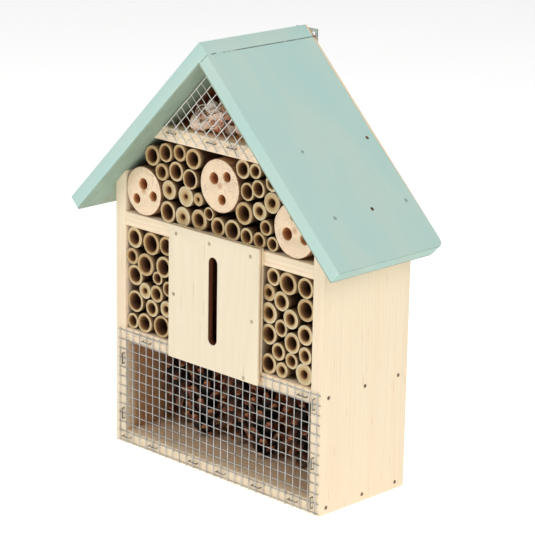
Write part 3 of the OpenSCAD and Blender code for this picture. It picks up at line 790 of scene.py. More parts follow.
@dataclass(frozen=True)
class Shaving:
    """Plane shavings: thin pinkish cream ribbons with long fibres and a browner edge.

    Args:
        name: The material's name.
    """

    name: str = "plane_shaving"

    def material(self) -> bpy.types.Material:
        """Builds the material.

        Returns:
            The finished material.
        """
        r = Recipe(self.name)
        tone = r.stored("tone")
        here = r.place()
        long = r.cloud(r.stretched(here, (1.0, 0.3, 1.0)), 900.0, 3.0)
        patch = r.cloud(here, 160.0, 2.0)
        hue = r.ramp(
            tone * 0.8 + (long - 0.5) * 0.6,
            [
                (0.0, dye(236, 164, 122)),
                (0.2, dye(255, 220, 194)),
                (0.6, dye(255, 240, 226)),
                (1.0, dye(255, 250, 242)),
            ],
        )
        hue = r.blend(hue, dye(214, 142, 104), patch.rise(0.58, 0.8) * 0.25)
        return r.dress(Base_Color=hue, Roughness=0.62 + 0.2 * long, Normal=r.relief(long, 0.2 * MM, 0.5))


@dataclass(frozen=True)
class Metal:
    """Plated or galvanised steel with a faint spangle, small scratches and dull patches.

    Args:
        name: The material's name.
        bright: The colour of the clean plating.
        dull: The colour of the duller patches.
        rough: The least roughness.
        metallic: How metallic the surface is.
        scratch: How strongly scratches show.
        painted: The Y in front of which the heads are painted over, if any are.
        filled: The Y and Z behind and below which they are painted over too.
    """

    name: str
    bright: Colour
    dull: Colour
    rough: float
    metallic: float = 1.0
    scratch: float = 0.4
    painted: float = -1.0
    filled: tuple[float, float] = (1.0, -1.0)

    def material(self) -> bpy.types.Material:
        """Builds the material.

        Returns:
            The finished material.
        """
        r = Recipe(self.name)
        here = r.place()
        spangle = r.cells(here, 420.0)
        patch = r.cloud(here, 130.0, 3.0)
        line = r.cloud(r.stretched(here, (1.0, 1.0, 0.05)), 1500.0, 3.0)
        hue = r.blend(self.bright, self.dull, patch.rise(0.4, 0.7) * 0.8 + spangle * 0.25)
        _, back, up = r.parts(here)
        rear, low = self.filled
        hidden = back.rise(rear, rear + 1 * MM) * up.rise(low + 1 * MM, low)
        cover = back.rise(self.painted + 1 * MM, self.painted).most(hidden) * (0.86 + 0.14 * patch)
        hue = r.blend(hue, dye(158, 184, 176), cover)
        return r.dress(
            Base_Color=hue,
            Metallic=self.metallic * (1 - cover),
            Roughness=(self.rough + 0.22 * patch + self.scratch * 0.2 * line).most(cover * 0.6),
            Normal=r.relief(line * 0.5 + spangle * 0.5, 0.08 * MM, 0.6),
        )


@dataclass(frozen=True)
class Backdrop:
    """The plain pale floor, with a barely seen unevenness.

    Args:
        name: The material's name.
    """

    name: str = "pale_floor"

    def material(self) -> bpy.types.Material:
        """Builds the material.

        Returns:
            The finished material.
        """
        r = Recipe(self.name)
        soft = r.cloud(r.place(), 3.0, 2.0)
        hue = r.blend(dye(250, 250, 249), dye(246, 246, 245), soft)
        return r.dress(
            Base_Color=hue,
            Roughness=0.9,
            Specular_IOR_Level=0.1,
            Emission_Color=(1.0, 1.0, 1.0, 1.0),
            Emission_Strength=0.62,
        )


# ---------------------------------------------------------------- bench work


def cad_copy(node: str) -> bmesh.types.BMesh:
    """Copies a CAD node's mesh, merges its loose triangles and clears flat divisions.

    Args:
        node: The CAD node's name.

    Returns:
        The merged copy.
    """
    bm = bmesh.new()
    bm.from_mesh(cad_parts[node].data)
    bmesh.ops.remove_doubles(bm, verts=bm.verts, dist=0.004 * MM)
    bmesh.ops.dissolve_limit(bm, angle_limit=math.radians(0.8), verts=bm.verts, edges=bm.edges)
    return bm


def islands(bm: bmesh.types.BMesh) -> list[list[bmesh.types.BMVert]]:
    """Finds the separate solids of a mesh.

    Args:
        bm: The mesh.

    Returns:
        The vertices of each solid.
    """
    left = set(bm.verts)
    found = []
    while left:
        start = min(left, key=lambda v: v.index)
        group, edge = {start}, [start]
        while edge:
            for link in edge.pop().link_edges:
                for vert in link.verts:
                    if vert not in group:
                        group.add(vert)
                        edge.append(vert)
        left -= group
        found.append(sorted(group, key=lambda v: v.index))
    return found


def span(verts: Iterable[bmesh.types.BMVert]) -> tuple[Vector, Vector]:
    """The lowest and highest corners of some vertices.

    Args:
        verts: The vertices.

    Returns:
        The two corners.
    """
    spots = [v.co for v in verts]
    low = Vector([min(s[i] for s in spots) for i in range(3)])
    high = Vector([max(s[i] for s in spots) for i in range(3)])
    return low, high


def add_to(target: bmesh.types.BMesh, part: bmesh.types.BMesh) -> None:
    """Adds a finished part to a larger mesh and frees it.

    Args:
        target: The mesh that takes it.
        part: The part.
    """
    carrier = bpy.data.meshes.new("carrier")
    part.to_mesh(carrier)
    part.free()
    target.from_mesh(carrier)
    bpy.data.meshes.remove(carrier)


def mark(bm: bmesh.types.BMesh, name: str, rule: Callable[[bmesh.types.BMVert], float]) -> None:
    """Stores a number on every vertex for the finish to read.

    Args:
        bm: The mesh.
        name: The number's name.
        rule: What gives the number for a vertex.
    """
    layer = bm.verts.layers.float.get(name) or bm.verts.layers.float.new(name)
    for vert in bm.verts:
        vert[layer] = rule(vert)


def lathe(profile: Sequence[tuple[float, float]], steps: int, axis: Vector) -> bmesh.types.BMesh:
    """Turns a profile into a closed solid.

    Args:
        profile: Each point's distance from the axis and place along it, from end to end.
        steps: How many sides the solid has.
        axis: The axis of the solid, through the origin.

    Returns:
        The solid, with its faces outwards.
    """
    bm = bmesh.new()
    out = ACROSS if abs(axis.x) < 0.5 else UP
    verts = [bm.verts.new(out * radius + axis * along) for radius, along in profile]
    edges = [bm.edges.new(pair) for pair in zip(verts, verts[1:])]
    bmesh.ops.spin(
        bm,
        geom=verts + edges,
        cent=ORIGIN,
        axis=axis,
        dvec=ORIGIN,
        angle=FULL_TURN,
        steps=steps,
        use_merge=True,
    )
    bmesh.ops.remove_doubles(bm, verts=bm.verts, dist=0.002 * MM)
    bmesh.ops.recalc_face_normals(bm, faces=bm.faces)
    return bm


def ease(bm: bmesh.types.BMesh, edges: Iterable[bmesh.types.BMEdge], width: float, segments: int) -> None:
    """Rounds over some edges.

    Args:
        bm: The mesh.
        edges: The edges to round.
        width: How far from the edge the rounding starts.
        segments: How many faces it has.
    """
    bmesh.ops.bevel(
        bm,
        geom=list(edges),
        offset=width,
        offset_type="OFFSET",
        affect="EDGES",
        segments=segments,
        profile=0.5,
        material=-1,
        clamp_overlap=True,
    )


def arrises(
    bm: bmesh.types.BMesh, least_length: float, least_angle: float = 40.0
) -> list[bmesh.types.BMEdge]:
    """Picks the sharp edges of a mesh.

    Args:
        bm: The mesh.
        least_length: The shortest edge that counts.
        least_angle: The least turn between an edge's faces, in degrees.

    Returns:
        The edges.
    """
    turn = math.radians(least_angle)
    return [
        e
        for e in bm.edges
        if e.is_manifold and e.calc_length() > least_length and e.calc_face_angle(0.0) > turn
    ]


@dataclass
class Piece:
    """A mesh on its way to being a finished piece of the hotel.

    Args:
        name: The piece's name.
        slot: The record's material slot; not used.
        replaces: The CAD nodes that it stands for.
        finishes: Its materials in slot order.
        crease: The angle above which an edge stays sharp, in degrees.
    """

    name: str
    slot: str
    replaces: tuple[str, ...]
    finishes: Sequence[bpy.types.Material]
    crease: float = 38.0

    def make(self, bm: bmesh.types.BMesh) -> bpy.types.Object:
        """Turns the mesh into an object that rides on the body.

        Args:
            bm: The mesh, which is freed.

        Returns:
            The object.
        """
        for face in bm.faces:
            face.smooth = True
        for edge in bm.edges:
            edge.smooth = edge.calc_face_angle(0.0) < math.radians(self.crease)
        mesh = bpy.data.meshes.new(self.name)
        bm.to_mesh(mesh)
        bm.free()
        for finish in self.finishes:
            mesh.materials.append(finish)
        made = bpy.data.objects.new(self.name, mesh)
        bpy.context.scene.collection.objects.link(made)
        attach(made, BODY)
        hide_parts(*self.replaces)
        log.info("%s: %d faces", self.name, len(mesh.polygons))
        return made


# ---------------------------------------------------------------- the case


@dataclass
class Case:
    """The pine boards and plywood sheets of the box.

    Args:
        arris: How far the boards' long edges are eased.
        corner: How far the outer walls' lower rear corners are rounded.
        sheet_arris: How far the plywood's edges are eased.
        sheet_rim: How far inside the front sheet's ends its slot surely lies.
        wall_rings: How strongly the growth rings show on the outer walls.
        boards: Each board's grain, where its heart lay and how much painted shade darkens its inner faces.
    """

    arris: float = 0.45 * MM
    corner: float = 2.0 * MM
    sheet_arris: float = 0.2 * MM
    sheet_rim: float = 4.0 * MM
    wall_rings: float = 0.13
    boards: dict[str, tuple[Grain, tuple[float, float], float]] = field(
        default_factory=lambda: {
            "left_wall": (Grain.UPRIGHT, (0.16, 0.030), 1.0),
            "right_wall": (Grain.UPRIGHT, (-0.150, -0.118), 1.0),
            "bottom_board": (Grain.ACROSS, (0.06, 0.07), 0.35),
            "lower_shelf": (Grain.ACROSS, (-0.14, 0.08), 0.8),
            "upper_shelf": (Grain.ACROSS, (-0.23, -0.08), 0.8),
            "attic_shelf": (Grain.ACROSS, (-0.29, 0.09), 1.0),
            "left_divider": (Grain.UPRIGHT, (0.10, 0.10), 1.0),
            "right_divider": (Grain.UPRIGHT, (-0.10, 0.12), 1.0),
        }
    )

    def build(self) -> None:
        """Builds every board and sheet."""
        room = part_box("bottom_board")
        for node, (grain, heart, inner_shade) in self.boards.items():
            bm = cad_copy(node)
            if node.endswith("_wall"):
                self.round_feet(bm)
            ease(bm, arrises(bm, 4 * MM), self.arris, 2)
            rings = self.wall_rings if node.endswith("_wall") else Timber.ring_share
            inside = room[1].x + 0.3 * MM
            wood = Timber(node + "_pine", grain, heart, inner_shade, inside, room[0].y, ring_share=rings)
            Piece(node + "_board", "pine", (node,), [wood.material()]).make(bm)
        for node in ("front_panel", "back_panel"):
            low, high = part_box(node)
            bm = cad_copy(node)
            ease(bm, arrises(bm, 1.0 * MM, 60), self.sheet_arris, 2)
            sheet = (node + "_plywood", low.y, high.y - low.y)
            if node == "front_panel":
                finish = Veneer(*sheet, slot=(low.z + self.sheet_rim, high.z - self.sheet_rim)).material()
            else:
                # The back sheet's inner face is darkened as painted shade.
                finish = Veneer(*sheet, inner_face_shade=1.0).material()
            Piece(node + "_sheet", "plywood", (node,), [finish]).make(bm)

    def round_feet(self, bm: bmesh.types.BMesh) -> None:
        """Rounds the lower rear corner of an outer wall.

        Args:
            bm: The wall.
        """
        low, high = span(bm.verts)
        feet = [
            e
            for e in bm.edges
            if all(abs(v.co.z - low.z) < 0.1 * MM and abs(v.co.y - high.y) < 0.1 * MM for v in e.verts)
        ]
        ease(bm, feet, self.corner, 5)


@dataclass
class Roof:
    """The two painted roof boards, lapped at the ridge.

    Args:
        arris: How far the long edges are eased.
        rear_corner: How far the rear corner at the eaves is rounded.
        front_corner: How far the front corner at the eaves is rounded.
        ridge_corner: How far the corners at the ridge are rounded.
        knot: Where the knot by the lap joint is.
        worn_under: How low the rubbed rear arris reaches, along Z.
        worn_top: How high it is at its widest, along Z.
        seam: How far down the right slope the lap joint lies, as (X - Z) / sqrt 2.
        seam_foot: How low on the boards' ends the joint shows, along Z.
        thickness: How thick the boards are.
    """

    arris: float = 0.55 * MM
    rear_corner: float = 5.0 * MM
    front_corner: float = 1.2 * MM
    ridge_corner: float = 0.6 * MM
    knot: tuple[float, float, float] = (7 * MM, 46.7 * MM, 274.8 * MM)
    worn_under: float = 165 * MM
    worn_top: float = 235 * MM
    seam: float = -0.18985
    seam_foot: float = 0.2700
    thickness: float = 9.0 * MM

    def build(self) -> None:
        """Builds both boards."""
        for node, grain in (
            ("roof_left_panel", Grain.DOWN_TO_LEFT),
            ("roof_right_panel", Grain.DOWN_TO_RIGHT),
        ):
            low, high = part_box(node)
            bm = cad_copy(node)
            underside = max((abs(v.co.x) + v.co.z) * math.sqrt(0.5) for v in bm.verts) - self.thickness
            eave = max((abs(v.co.x) - v.co.z) * math.sqrt(0.5) for v in bm.verts)
            self.round_corners(bm, low, high)
            ease(bm, arrises(bm, 4 * MM), self.arris, 3)
            paint = ChalkPaint(
                name=node + "_paint",
                grain=grain,
                worn_back=high.y,
                worn_under=self.worn_under,
                worn_top=self.worn_top,
                knot=self.knot,
                seam=self.seam,
                seam_foot=self.seam_foot,
                underside=underside,
                gable=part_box("attic_shelf")[0].y,
                wall=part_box("right_wall")[1].x,
                eave=eave,
            )
            Piece(node + "_board", "mint_paint", (node,), [paint.material()]).make(bm)

    def round_corners(self, bm: bmesh.types.BMesh, low: Vector, high: Vector) -> None:
        """Rounds the corners at both ends of a board.

        Args:
            bm: The board.
            low: Its lowest corner.
            high: Its highest corner.
        """
        eaves_top = low.z + (high.z - low.z) * 0.3
        corners: dict[float, list[bmesh.types.BMEdge]] = {}
        for edge in arrises(bm, 5 * MM):
            middle = (edge.verts[0].co + edge.verts[1].co) / 2
            run = (edge.verts[1].co - edge.verts[0].co).normalized()
            rear, front = abs(middle.y - high.y) < 0.1 * MM, abs(middle.y - low.y) < 0.1 * MM
            if not (rear or front) or abs(run.y) > 0.1 or edge.calc_length() > 14 * MM:
                continue
            width = self.rear_corner if rear else self.front_corner
            if middle.z > eaves_top:
                width = self.ridge_corner
            corners.setdefault(width, []).append(edge)
        for width, edges in corners.items():
            ease(bm, edges, width, 6)


# ---------------------------------------------------------------- the canes


@dataclass
class CaneFill:
    """Every cut cane: a tapering hollow tube with a ring, a fibrous end and a brown bore, painted darker with
    depth as shade.

    Args:
        sides: How many sides a cane has.
        rim: How far its cut end is eased.
        slack: How much thinner it is between its rings.
        seed: What the small differences between canes grow from.
        groups: The bundles' CAD nodes.
    """

    sides: int = 30
    rim: float = 0.22 * MM
    slack: float = 0.985
    seed: int = 7
    groups: tuple[str, ...] = tuple(
        f"{side}_canes_{level}" for side in ("left", "right", "top") for level in ("lower", "middle", "upper")
    )

    def build(self) -> None:
        """Builds the nine bundles of canes."""
        finishes = [Cane("cane_" + zone.name.lower(), zone).material() for zone in CaneZone]
        chance = random.Random(self.seed)
        for node in self.groups:
            cad = cad_copy(node)
            bundle = bmesh.new()
            for verts in islands(cad):
                add_to(bundle, self.cane(verts, chance))
            cad.free()
            Piece(node + "_cut", "bamboo", (node,), finishes, crease=50).make(bundle)

    def cane(self, verts: list[bmesh.types.BMVert], chance: random.Random) -> bmesh.types.BMesh:
        """Builds one cane in the place of its plain tube.

        Args:
            verts: The plain tube's vertices.
            chance: The source of the small differences.

        Returns:
            The cane.
        """
        low, high = span(verts)
        centre = (low + high) / 2
        radius = (high.x - low.x) / 2
        reach = [(math.hypot(v.co.x - centre.x, v.co.z - centre.z), v.co.y) for v in verts]
        bore = min(r for r, y in reach if y < low.y + 0.05 * MM)
        floor = max(y for r, y in reach if r < bore + 0.05 * MM and y < high.y - 1 * MM)
        length = high.y - low.y
        ring = low.y + length * chance.uniform(0.25, 0.8)
        swell = 1.1 * MM
        body = radius * self.slack
        profile = [
            (0.0, high.y),
            (body, high.y),
            (body, ring + swell),
            (radius, ring + swell * 0.3),
            (radius * 0.972, ring),
            (radius, ring - swell * 0.3),
            (body, ring - swell),
            (body, low.y + 6 * MM),
            (body, low.y + self.rim),
            (body - self.rim, low.y),
            (body * 0.55 + bore * 0.45, low.y),
            (bore + self.rim, low.y),
            (bore, low.y + self.rim),
            (bore * 0.985, low.y + 4 * MM),
            (bore * 0.97, low.y + 12 * MM),
            (bore * 0.95, floor - 1 * MM),
            (bore * 0.6, floor),
            (0.0, floor),
        ]
        bm = lathe(profile, self.sides, BACKWARD)
        self.zones(bm, low.y, bore, body, chance.random())
        squash = chance.uniform(0.955, 1.0)
        tilt = Matrix.Rotation(chance.uniform(0, math.pi), 4, "Y")
        bm.transform(tilt @ Matrix.Diagonal((squash, 1.0, 1.0, 1.0)) @ tilt.inverted())
        drift = chance.uniform(0, 50)
        for vert in bm.verts:
            dent = noise.noise(Vector((vert.co.x * 190 + drift, vert.co.y * 25, vert.co.z * 190)))
            if vert.co.y > low.y + self.rim * 1.5:
                vert.co.x *= 1 - 0.012 * (1 + dent)
                vert.co.z *= 1 - 0.012 * (1 + dent)
        lean = chance.uniform(-0.02, 0.02)
        for vert in bm.verts:
            if vert.co.y < low.y + 3 * MM:
                vert.co.y += max(0.0, lean * vert.co.x + 0.25 * MM * noise.noise(vert.co * 400) + 0.1 * MM)
        bm.transform(Matrix.Translation((centre.x, 0.0, centre.z)))
        return bm

    def zones(self, bm: bmesh.types.BMesh, front: float, bore: float, body: float, tone: float) -> None:
        """Marks the skin, the cut end and the bore of a cane.

        Args:
            bm: The cane, about the Y axis.
            front: Where its cut end is.
            bore: The radius of its bore.
            body: The radius of its skin.
            tone: How dark or pale this cane is, from 0 to 1.
        """
        mark(bm, "tone", lambda v: tone)
        mark(bm, "wall", lambda v: (math.hypot(v.co.x, v.co.z) - bore) / (body - bore))
        mark(bm, "depth", lambda v: v.co.y - front)
        for face in bm.faces:
            spot = face.calc_center_median()
            reach = math.hypot(spot.x, spot.z)
            if spot.y < front + self.rim * 1.01 and reach > bore:
                zone = CaneZone.CUT
            elif reach < bore + 0.05 * MM:
                zone = CaneZone.BORE
            else:
                zone = CaneZone.SKIN
            face.material_index = zone.value


# ---------------------------------------------------------------- the logs


@dataclass(frozen=True)
class Nest:
    """One drilled nest hole.

    Args:
        angle: Its direction from the log's heart, in degrees.
        distance: How far its middle is from the heart, in mm.
        diameter: Its diameter, in mm.
    """

    angle: float
    distance: float
    diameter: float


@dataclass
class Logs:
    """The three drilled log slices.

    Args:
        sides: How many sides a log has.
        hole_sides: How many sides a nest hole has.
        rim: How far a log's ends are eased.
        hole_rim: How far a hole's mouth is eased.
        bark_stops: The shares of the length at which the bark has a ring of vertices.
        hole_steps: How far each stretch of a hole's wall reaches, from its mouth inwards.
        seed: What the small differences between logs grow from.
        nests: Each log's three nest holes.
    """

    sides: int = 72
    hole_sides: int = 28
    rim: float = 0.35 * MM
    hole_rim: float = 0.15 * MM
    bark_stops: tuple[float, ...] = (0.0, 0.06, 0.2, 0.38, 0.56, 0.74, 0.9, 1.0)
    hole_steps: tuple[float, ...] = (1.5 * MM, 4.0 * MM, 10.0 * MM, 34.35 * MM)
    seed: int = 3
    nests: dict[str, tuple[Nest, ...]] = field(
        default_factory=lambda: {
            "log_left": (Nest(97, 4.6, 7.5), Nest(222, 9, 6.5), Nest(-12, 9, 6.5)),
            "log_middle": (Nest(142, 6.4, 7.5), Nest(47, 9.2, 6.5), Nest(-76, 8.6, 6.5)),
            "log_right": (Nest(207, 6.8, 8), Nest(95, 9, 6.5), Nest(-25, 9, 6.5)),
        }
    )

    def build(self) -> None:
        """Builds the three logs."""
        for number, (node, nests) in enumerate(self.nests.items()):
            low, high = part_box(node)
            centre = (low + high) / 2
            heart = (centre.x, centre.z)
            finishes = [LogWood(f"{node}_{zone.name.lower()}", zone, heart).material() for zone in LogZone]
            bm = self.log(low, high, nests, random.Random(self.seed + number))
            Piece(node + "_slice", "log_wood", (node,), finishes, crease=46).make(bm)

    def log(
        self, low: Vector, high: Vector, nests: Sequence[Nest], chance: random.Random
    ) -> bmesh.types.BMesh:
        """Builds one log: a face with holes, filled, then drawn back along the bark and down the holes.

        Args:
            low: The lowest corner of its room.
            high: The highest corner of its room.
            nests: Its holes.
            chance: The source of the small differences.

        Returns:
            The log.
        """
        radius = (high.x - low.x) / 2
        bm = bmesh.new()
        flat = Matrix.Rotation(math.pi / 2, 4, "X")
        rim, lip = self.rim, self.hole_rim
        outer = bmesh.ops.create_circle(bm, radius=radius - rim, segments=self.sides, matrix=flat)["verts"]
        holes = []
        for nest in nests:
            at = math.radians(nest.angle)
            spot = Vector((math.cos(at), 0.0, math.sin(at))) * nest.distance * MM
            size = nest.diameter / 2 * MM
            place = Matrix.Translation(spot) @ flat
            hole = bmesh.ops.create_circle(bm, radius=size + lip, segments=self.hole_sides, matrix=place)
            ring = hole["verts"]
            holes.append((spot, size, ring))
        bark_loop = {e for v in outer for e in v.link_edges}
        hole_loops = [{e for v in ring for e in v.link_edges} for _, _, ring in holes]
        bmesh.ops.triangle_fill(bm, edges=list(bm.edges), use_beauty=True, normal=-BACKWARD)
        for face in bm.faces:
            face.material_index = LogZone.CUT.value
        length = high.y - low.y
        eased = rim * 0.7
        loop = self.draw(bm, bark_loop, BACKWARD * eased, ORIGIN, radius / (radius - rim), LogZone.BARK)
        for before, share in zip(self.bark_stops, self.bark_stops[1:]):
            step = (share - before) * length - eased
            loop = self.draw(bm, loop, BACKWARD * step, ORIGIN, 1.0, LogZone.BARK)
            eased = 0.0
        end = bmesh.ops.contextual_create(bm, geom=list(loop))["faces"]
        for face in end:
            face.material_index = LogZone.CUT.value
        for (spot, size, _), edges in zip(holes, hole_loops):
            near = self.draw(bm, edges, BACKWARD * lip, spot, size / (size + lip), LogZone.NEST)
            for step in self.hole_steps:
                near = self.draw(bm, near, BACKWARD * step, spot, 0.998, LogZone.NEST)
            for face in bmesh.ops.contextual_create(bm, geom=list(near))["faces"]:
                face.material_index = LogZone.NEST.value
        bmesh.ops.recalc_face_normals(bm, faces=bm.faces)
        self.roughen(bm, radius, rim, chance)
        mark(bm, "depth", lambda v: v.co.y)
        bm.transform(Matrix.Translation(((low.x + high.x) / 2, low.y, (low.z + high.z) / 2)))
        return bm

    @staticmethod
    def draw(
        bm: bmesh.types.BMesh,
        loop: Iterable[bmesh.types.BMEdge],
        move: Vector,
        centre: Vector,
        scale: float,
        zone: LogZone,
    ) -> set[bmesh.types.BMEdge]:
        """Draws a loop of edges out into a new band of faces.

        Args:
            bm: The mesh.
            loop: The loop.
            move: How far the new loop lies from it.
            centre: What the new loop is scaled about.
            scale: How much wider the new loop is.
            zone: The part of the log that the band belongs to.

        Returns:
            The new loop.
        """
        made = bmesh.ops.extrude_edge_only(bm, edges=list(loop))["geom"]
        verts = [g for g in made if isinstance(g, bmesh.types.BMVert)]
        for face in (g for g in made if isinstance(g, bmesh.types.BMFace)):
            face.material_index = zone.value
        space = Matrix.Translation(-centre)
        bmesh.ops.scale(bm, vec=(scale, 1.0, scale), space=space, verts=verts)
        bmesh.ops.translate(bm, vec=move, verts=verts)
        fresh = set(verts)
        return {e for e in made if isinstance(e, bmesh.types.BMEdge) and set(e.verts) <= fresh}

    @staticmethod
    def roughen(bm: bmesh.types.BMesh, radius: float, rim: float, chance: random.Random) -> None:
        """Gives the bark its hollows, inwards only.

        Args:
            bm: The log.
            radius: The radius of its bark.
            rim: How far its ends are eased.
            chance: The source of the small differences.
        """
        shift = chance.uniform(0, 90)
        for vert in bm.verts:
            reach = math.hypot(vert.co.x, vert.co.z)
            if reach > radius - rim * 1.5:
                spot = Vector((vert.co.x * 120 + shift, vert.co.y * 30, vert.co.z * 120))
                hollow = 0.5 + 0.5 * noise.noise(spot) + 0.2 * noise.noise(spot * 3.1)
                vert.co.x *= 1 - 0.03 * max(0.0, hollow)
                vert.co.z *= 1 - 0.03 * max(0.0, hollow)


# ---------------------------------------------------------------- the cones


@dataclass
class PineCones:
    """The row of pine cones, each built scale by scale on a spiral.

    Args:
        scales: How many scales a cone has.
        blade: A full scale's length, width and thickness.
        fill: How much of its room a cone takes up.
        seed: What the small differences between cones grow from.
        count: How many cones there are.
    """

    scales: int = 38
    blade: tuple[float, float, float] = (17.0 * MM, 6.6 * MM, 2.6 * MM)
    fill: float = 0.97
    seed: int = 11
    count: int = 6

    def build(self) -> None:
        """Builds every cone."""
        finish = ConeScale().material()
        for number in range(1, self.count + 1):
            node = f"pine_cone_{number}"
            low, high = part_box(node)
            chance = random.Random(self.seed * number)
            bm = self.cone((high.x - low.x) / 2 * self.fill, high.z - low.z, chance)
            if number % 2 == 1:
                bm.transform(Matrix.Rotation(math.pi, 4, "X"))
                bm.transform(Matrix.Translation((0, 0, high.z - low.z)))
            bm.transform(Matrix.Translation(((low.x + high.x) / 2, (low.y + high.y) / 2, low.z)))
            Piece(f"{node}_scales", "pine_cone", (node,), [finish], crease=60).make(bm)

    @staticmethod
    def foot_tilt(share: float) -> float:
        """How far a scale leans out at a share of the height, in degrees, ahead of its closing."""
        return 36 + 44 * max(0.0, 1 - share / 0.12)

    @staticmethod
    def envelope(share: float) -> float:
        """How wide a cone is at a share of its height, as a share of its widest."""
        return math.sin(math.pi * (0.13 + 0.79 * share**0.8)) ** 0.75

    def cone(self, radius: float, height: float, chance: random.Random) -> bmesh.types.BMesh:
        """Builds one cone standing on its base.

        Args:
            radius: Its greatest radius.
            height: Its height.
            chance: The source of the small differences.

        Returns:
            The cone.
        """
        core = [(0.0, 0.6 * MM)]
        for i in range(9):
            share = i / 8
            wide = radius * 0.30 * self.envelope(share * 0.95) + 0.3 * MM
            core.append((wide, height * (0.03 + 0.85 * share)))
        core.append((0.0, height * 0.93))
        cone = lathe(core, 10, UP)
        mark(cone, "tip", lambda v: 0.0)
        mark(cone, "tone", lambda v: 0.5)
        start = chance.uniform(0, FULL_TURN)
        for i in range(self.scales):
            share = i / (self.scales - 1)
            reach = radius * self.envelope(share) * chance.uniform(0.90, 1.0)
            tilt = math.radians(self.foot_tilt(share) - 10 * share + chance.uniform(-13, 13))
            length = min(0.86 * reach / math.sin(tilt), self.blade[0])
            width = self.blade[1] * (0.62 + 0.38 * self.envelope(share)) * chance.uniform(0.85, 1.05)
            thick = self.blade[2] * (0.55 + 0.45 * self.envelope(share))
            part = self.scale(length, width, thick, chance)
            around = start + i * GOLDEN_ANGLE
            out = Vector((math.cos(around), math.sin(around), 0.0))
            forward = out * math.sin(tilt) + UP * math.cos(tilt)
            sideways = UP.cross(out)
            face = forward.cross(sideways)
            lift = max(1.6 * MM + length * math.cos(tilt), height * (0.06 + 0.92 * share))
            tip = out * reach * 0.99 + UP * min(height * 0.985, lift)
            turn = Matrix((forward, sideways, face)).transposed().to_4x4()
            part.transform(Matrix.Translation(tip - forward * length) @ turn)
            add_to(cone, part)
        return cone

    @staticmethod
    def scale(length: float, width: float, thick: float, chance: random.Random) -> bmesh.types.BMesh:
        """Builds one scale lying along X: a narrow root, a broad blade and a thick keeled tip.

        Args:
            length: From root to tip.
            width: Across the blade.
            thick: Through the tip.
            chance: The source of the small differences.

        Returns:
            The scale.
        """
        bm = bmesh.new()
        bmesh.ops.create_cube(bm, size=1.0)
        bmesh.ops.subdivide_edges(bm, edges=list(bm.edges), cuts=2, use_grid_fill=True)
        bmesh.ops.smooth_vert(
            bm, verts=bm.verts, factor=0.35, use_axis_x=True, use_axis_y=True, use_axis_z=True
        )
        low, high = span(bm.verts)
        mark(bm, "tip", lambda v: (v.co.x - low.x) / (high.x - low.x))
        tone = chance.random()
        mark(bm, "tone", lambda v: tone)
        for vert in bm.verts:
            along = (vert.co.x - low.x) / (high.x - low.x)
            broad = 0.3 + 0.78 * math.sin(math.pi * (0.08 + 0.80 * along))
            deep = 0.45 + 0.55 * along**2
            keel = 0.35 * max(0.0, 1 - abs(vert.co.y) * 4) if along > 0.6 and vert.co.z < 0 else 0.0
            vert.co.y *= broad
            vert.co.z = vert.co.z * deep - keel * 0.5
            vert.co.z -= along * along * (0.35 * abs(vert.co.y) + 0.55)
        bmesh.ops.translate(bm, vec=(-low.x, 0, 0), verts=bm.verts)
        bmesh.ops.scale(bm, vec=(length / (high.x - low.x), width, thick), verts=bm.verts)
        return bm


# ---------------------------------------------------------------- the shavings


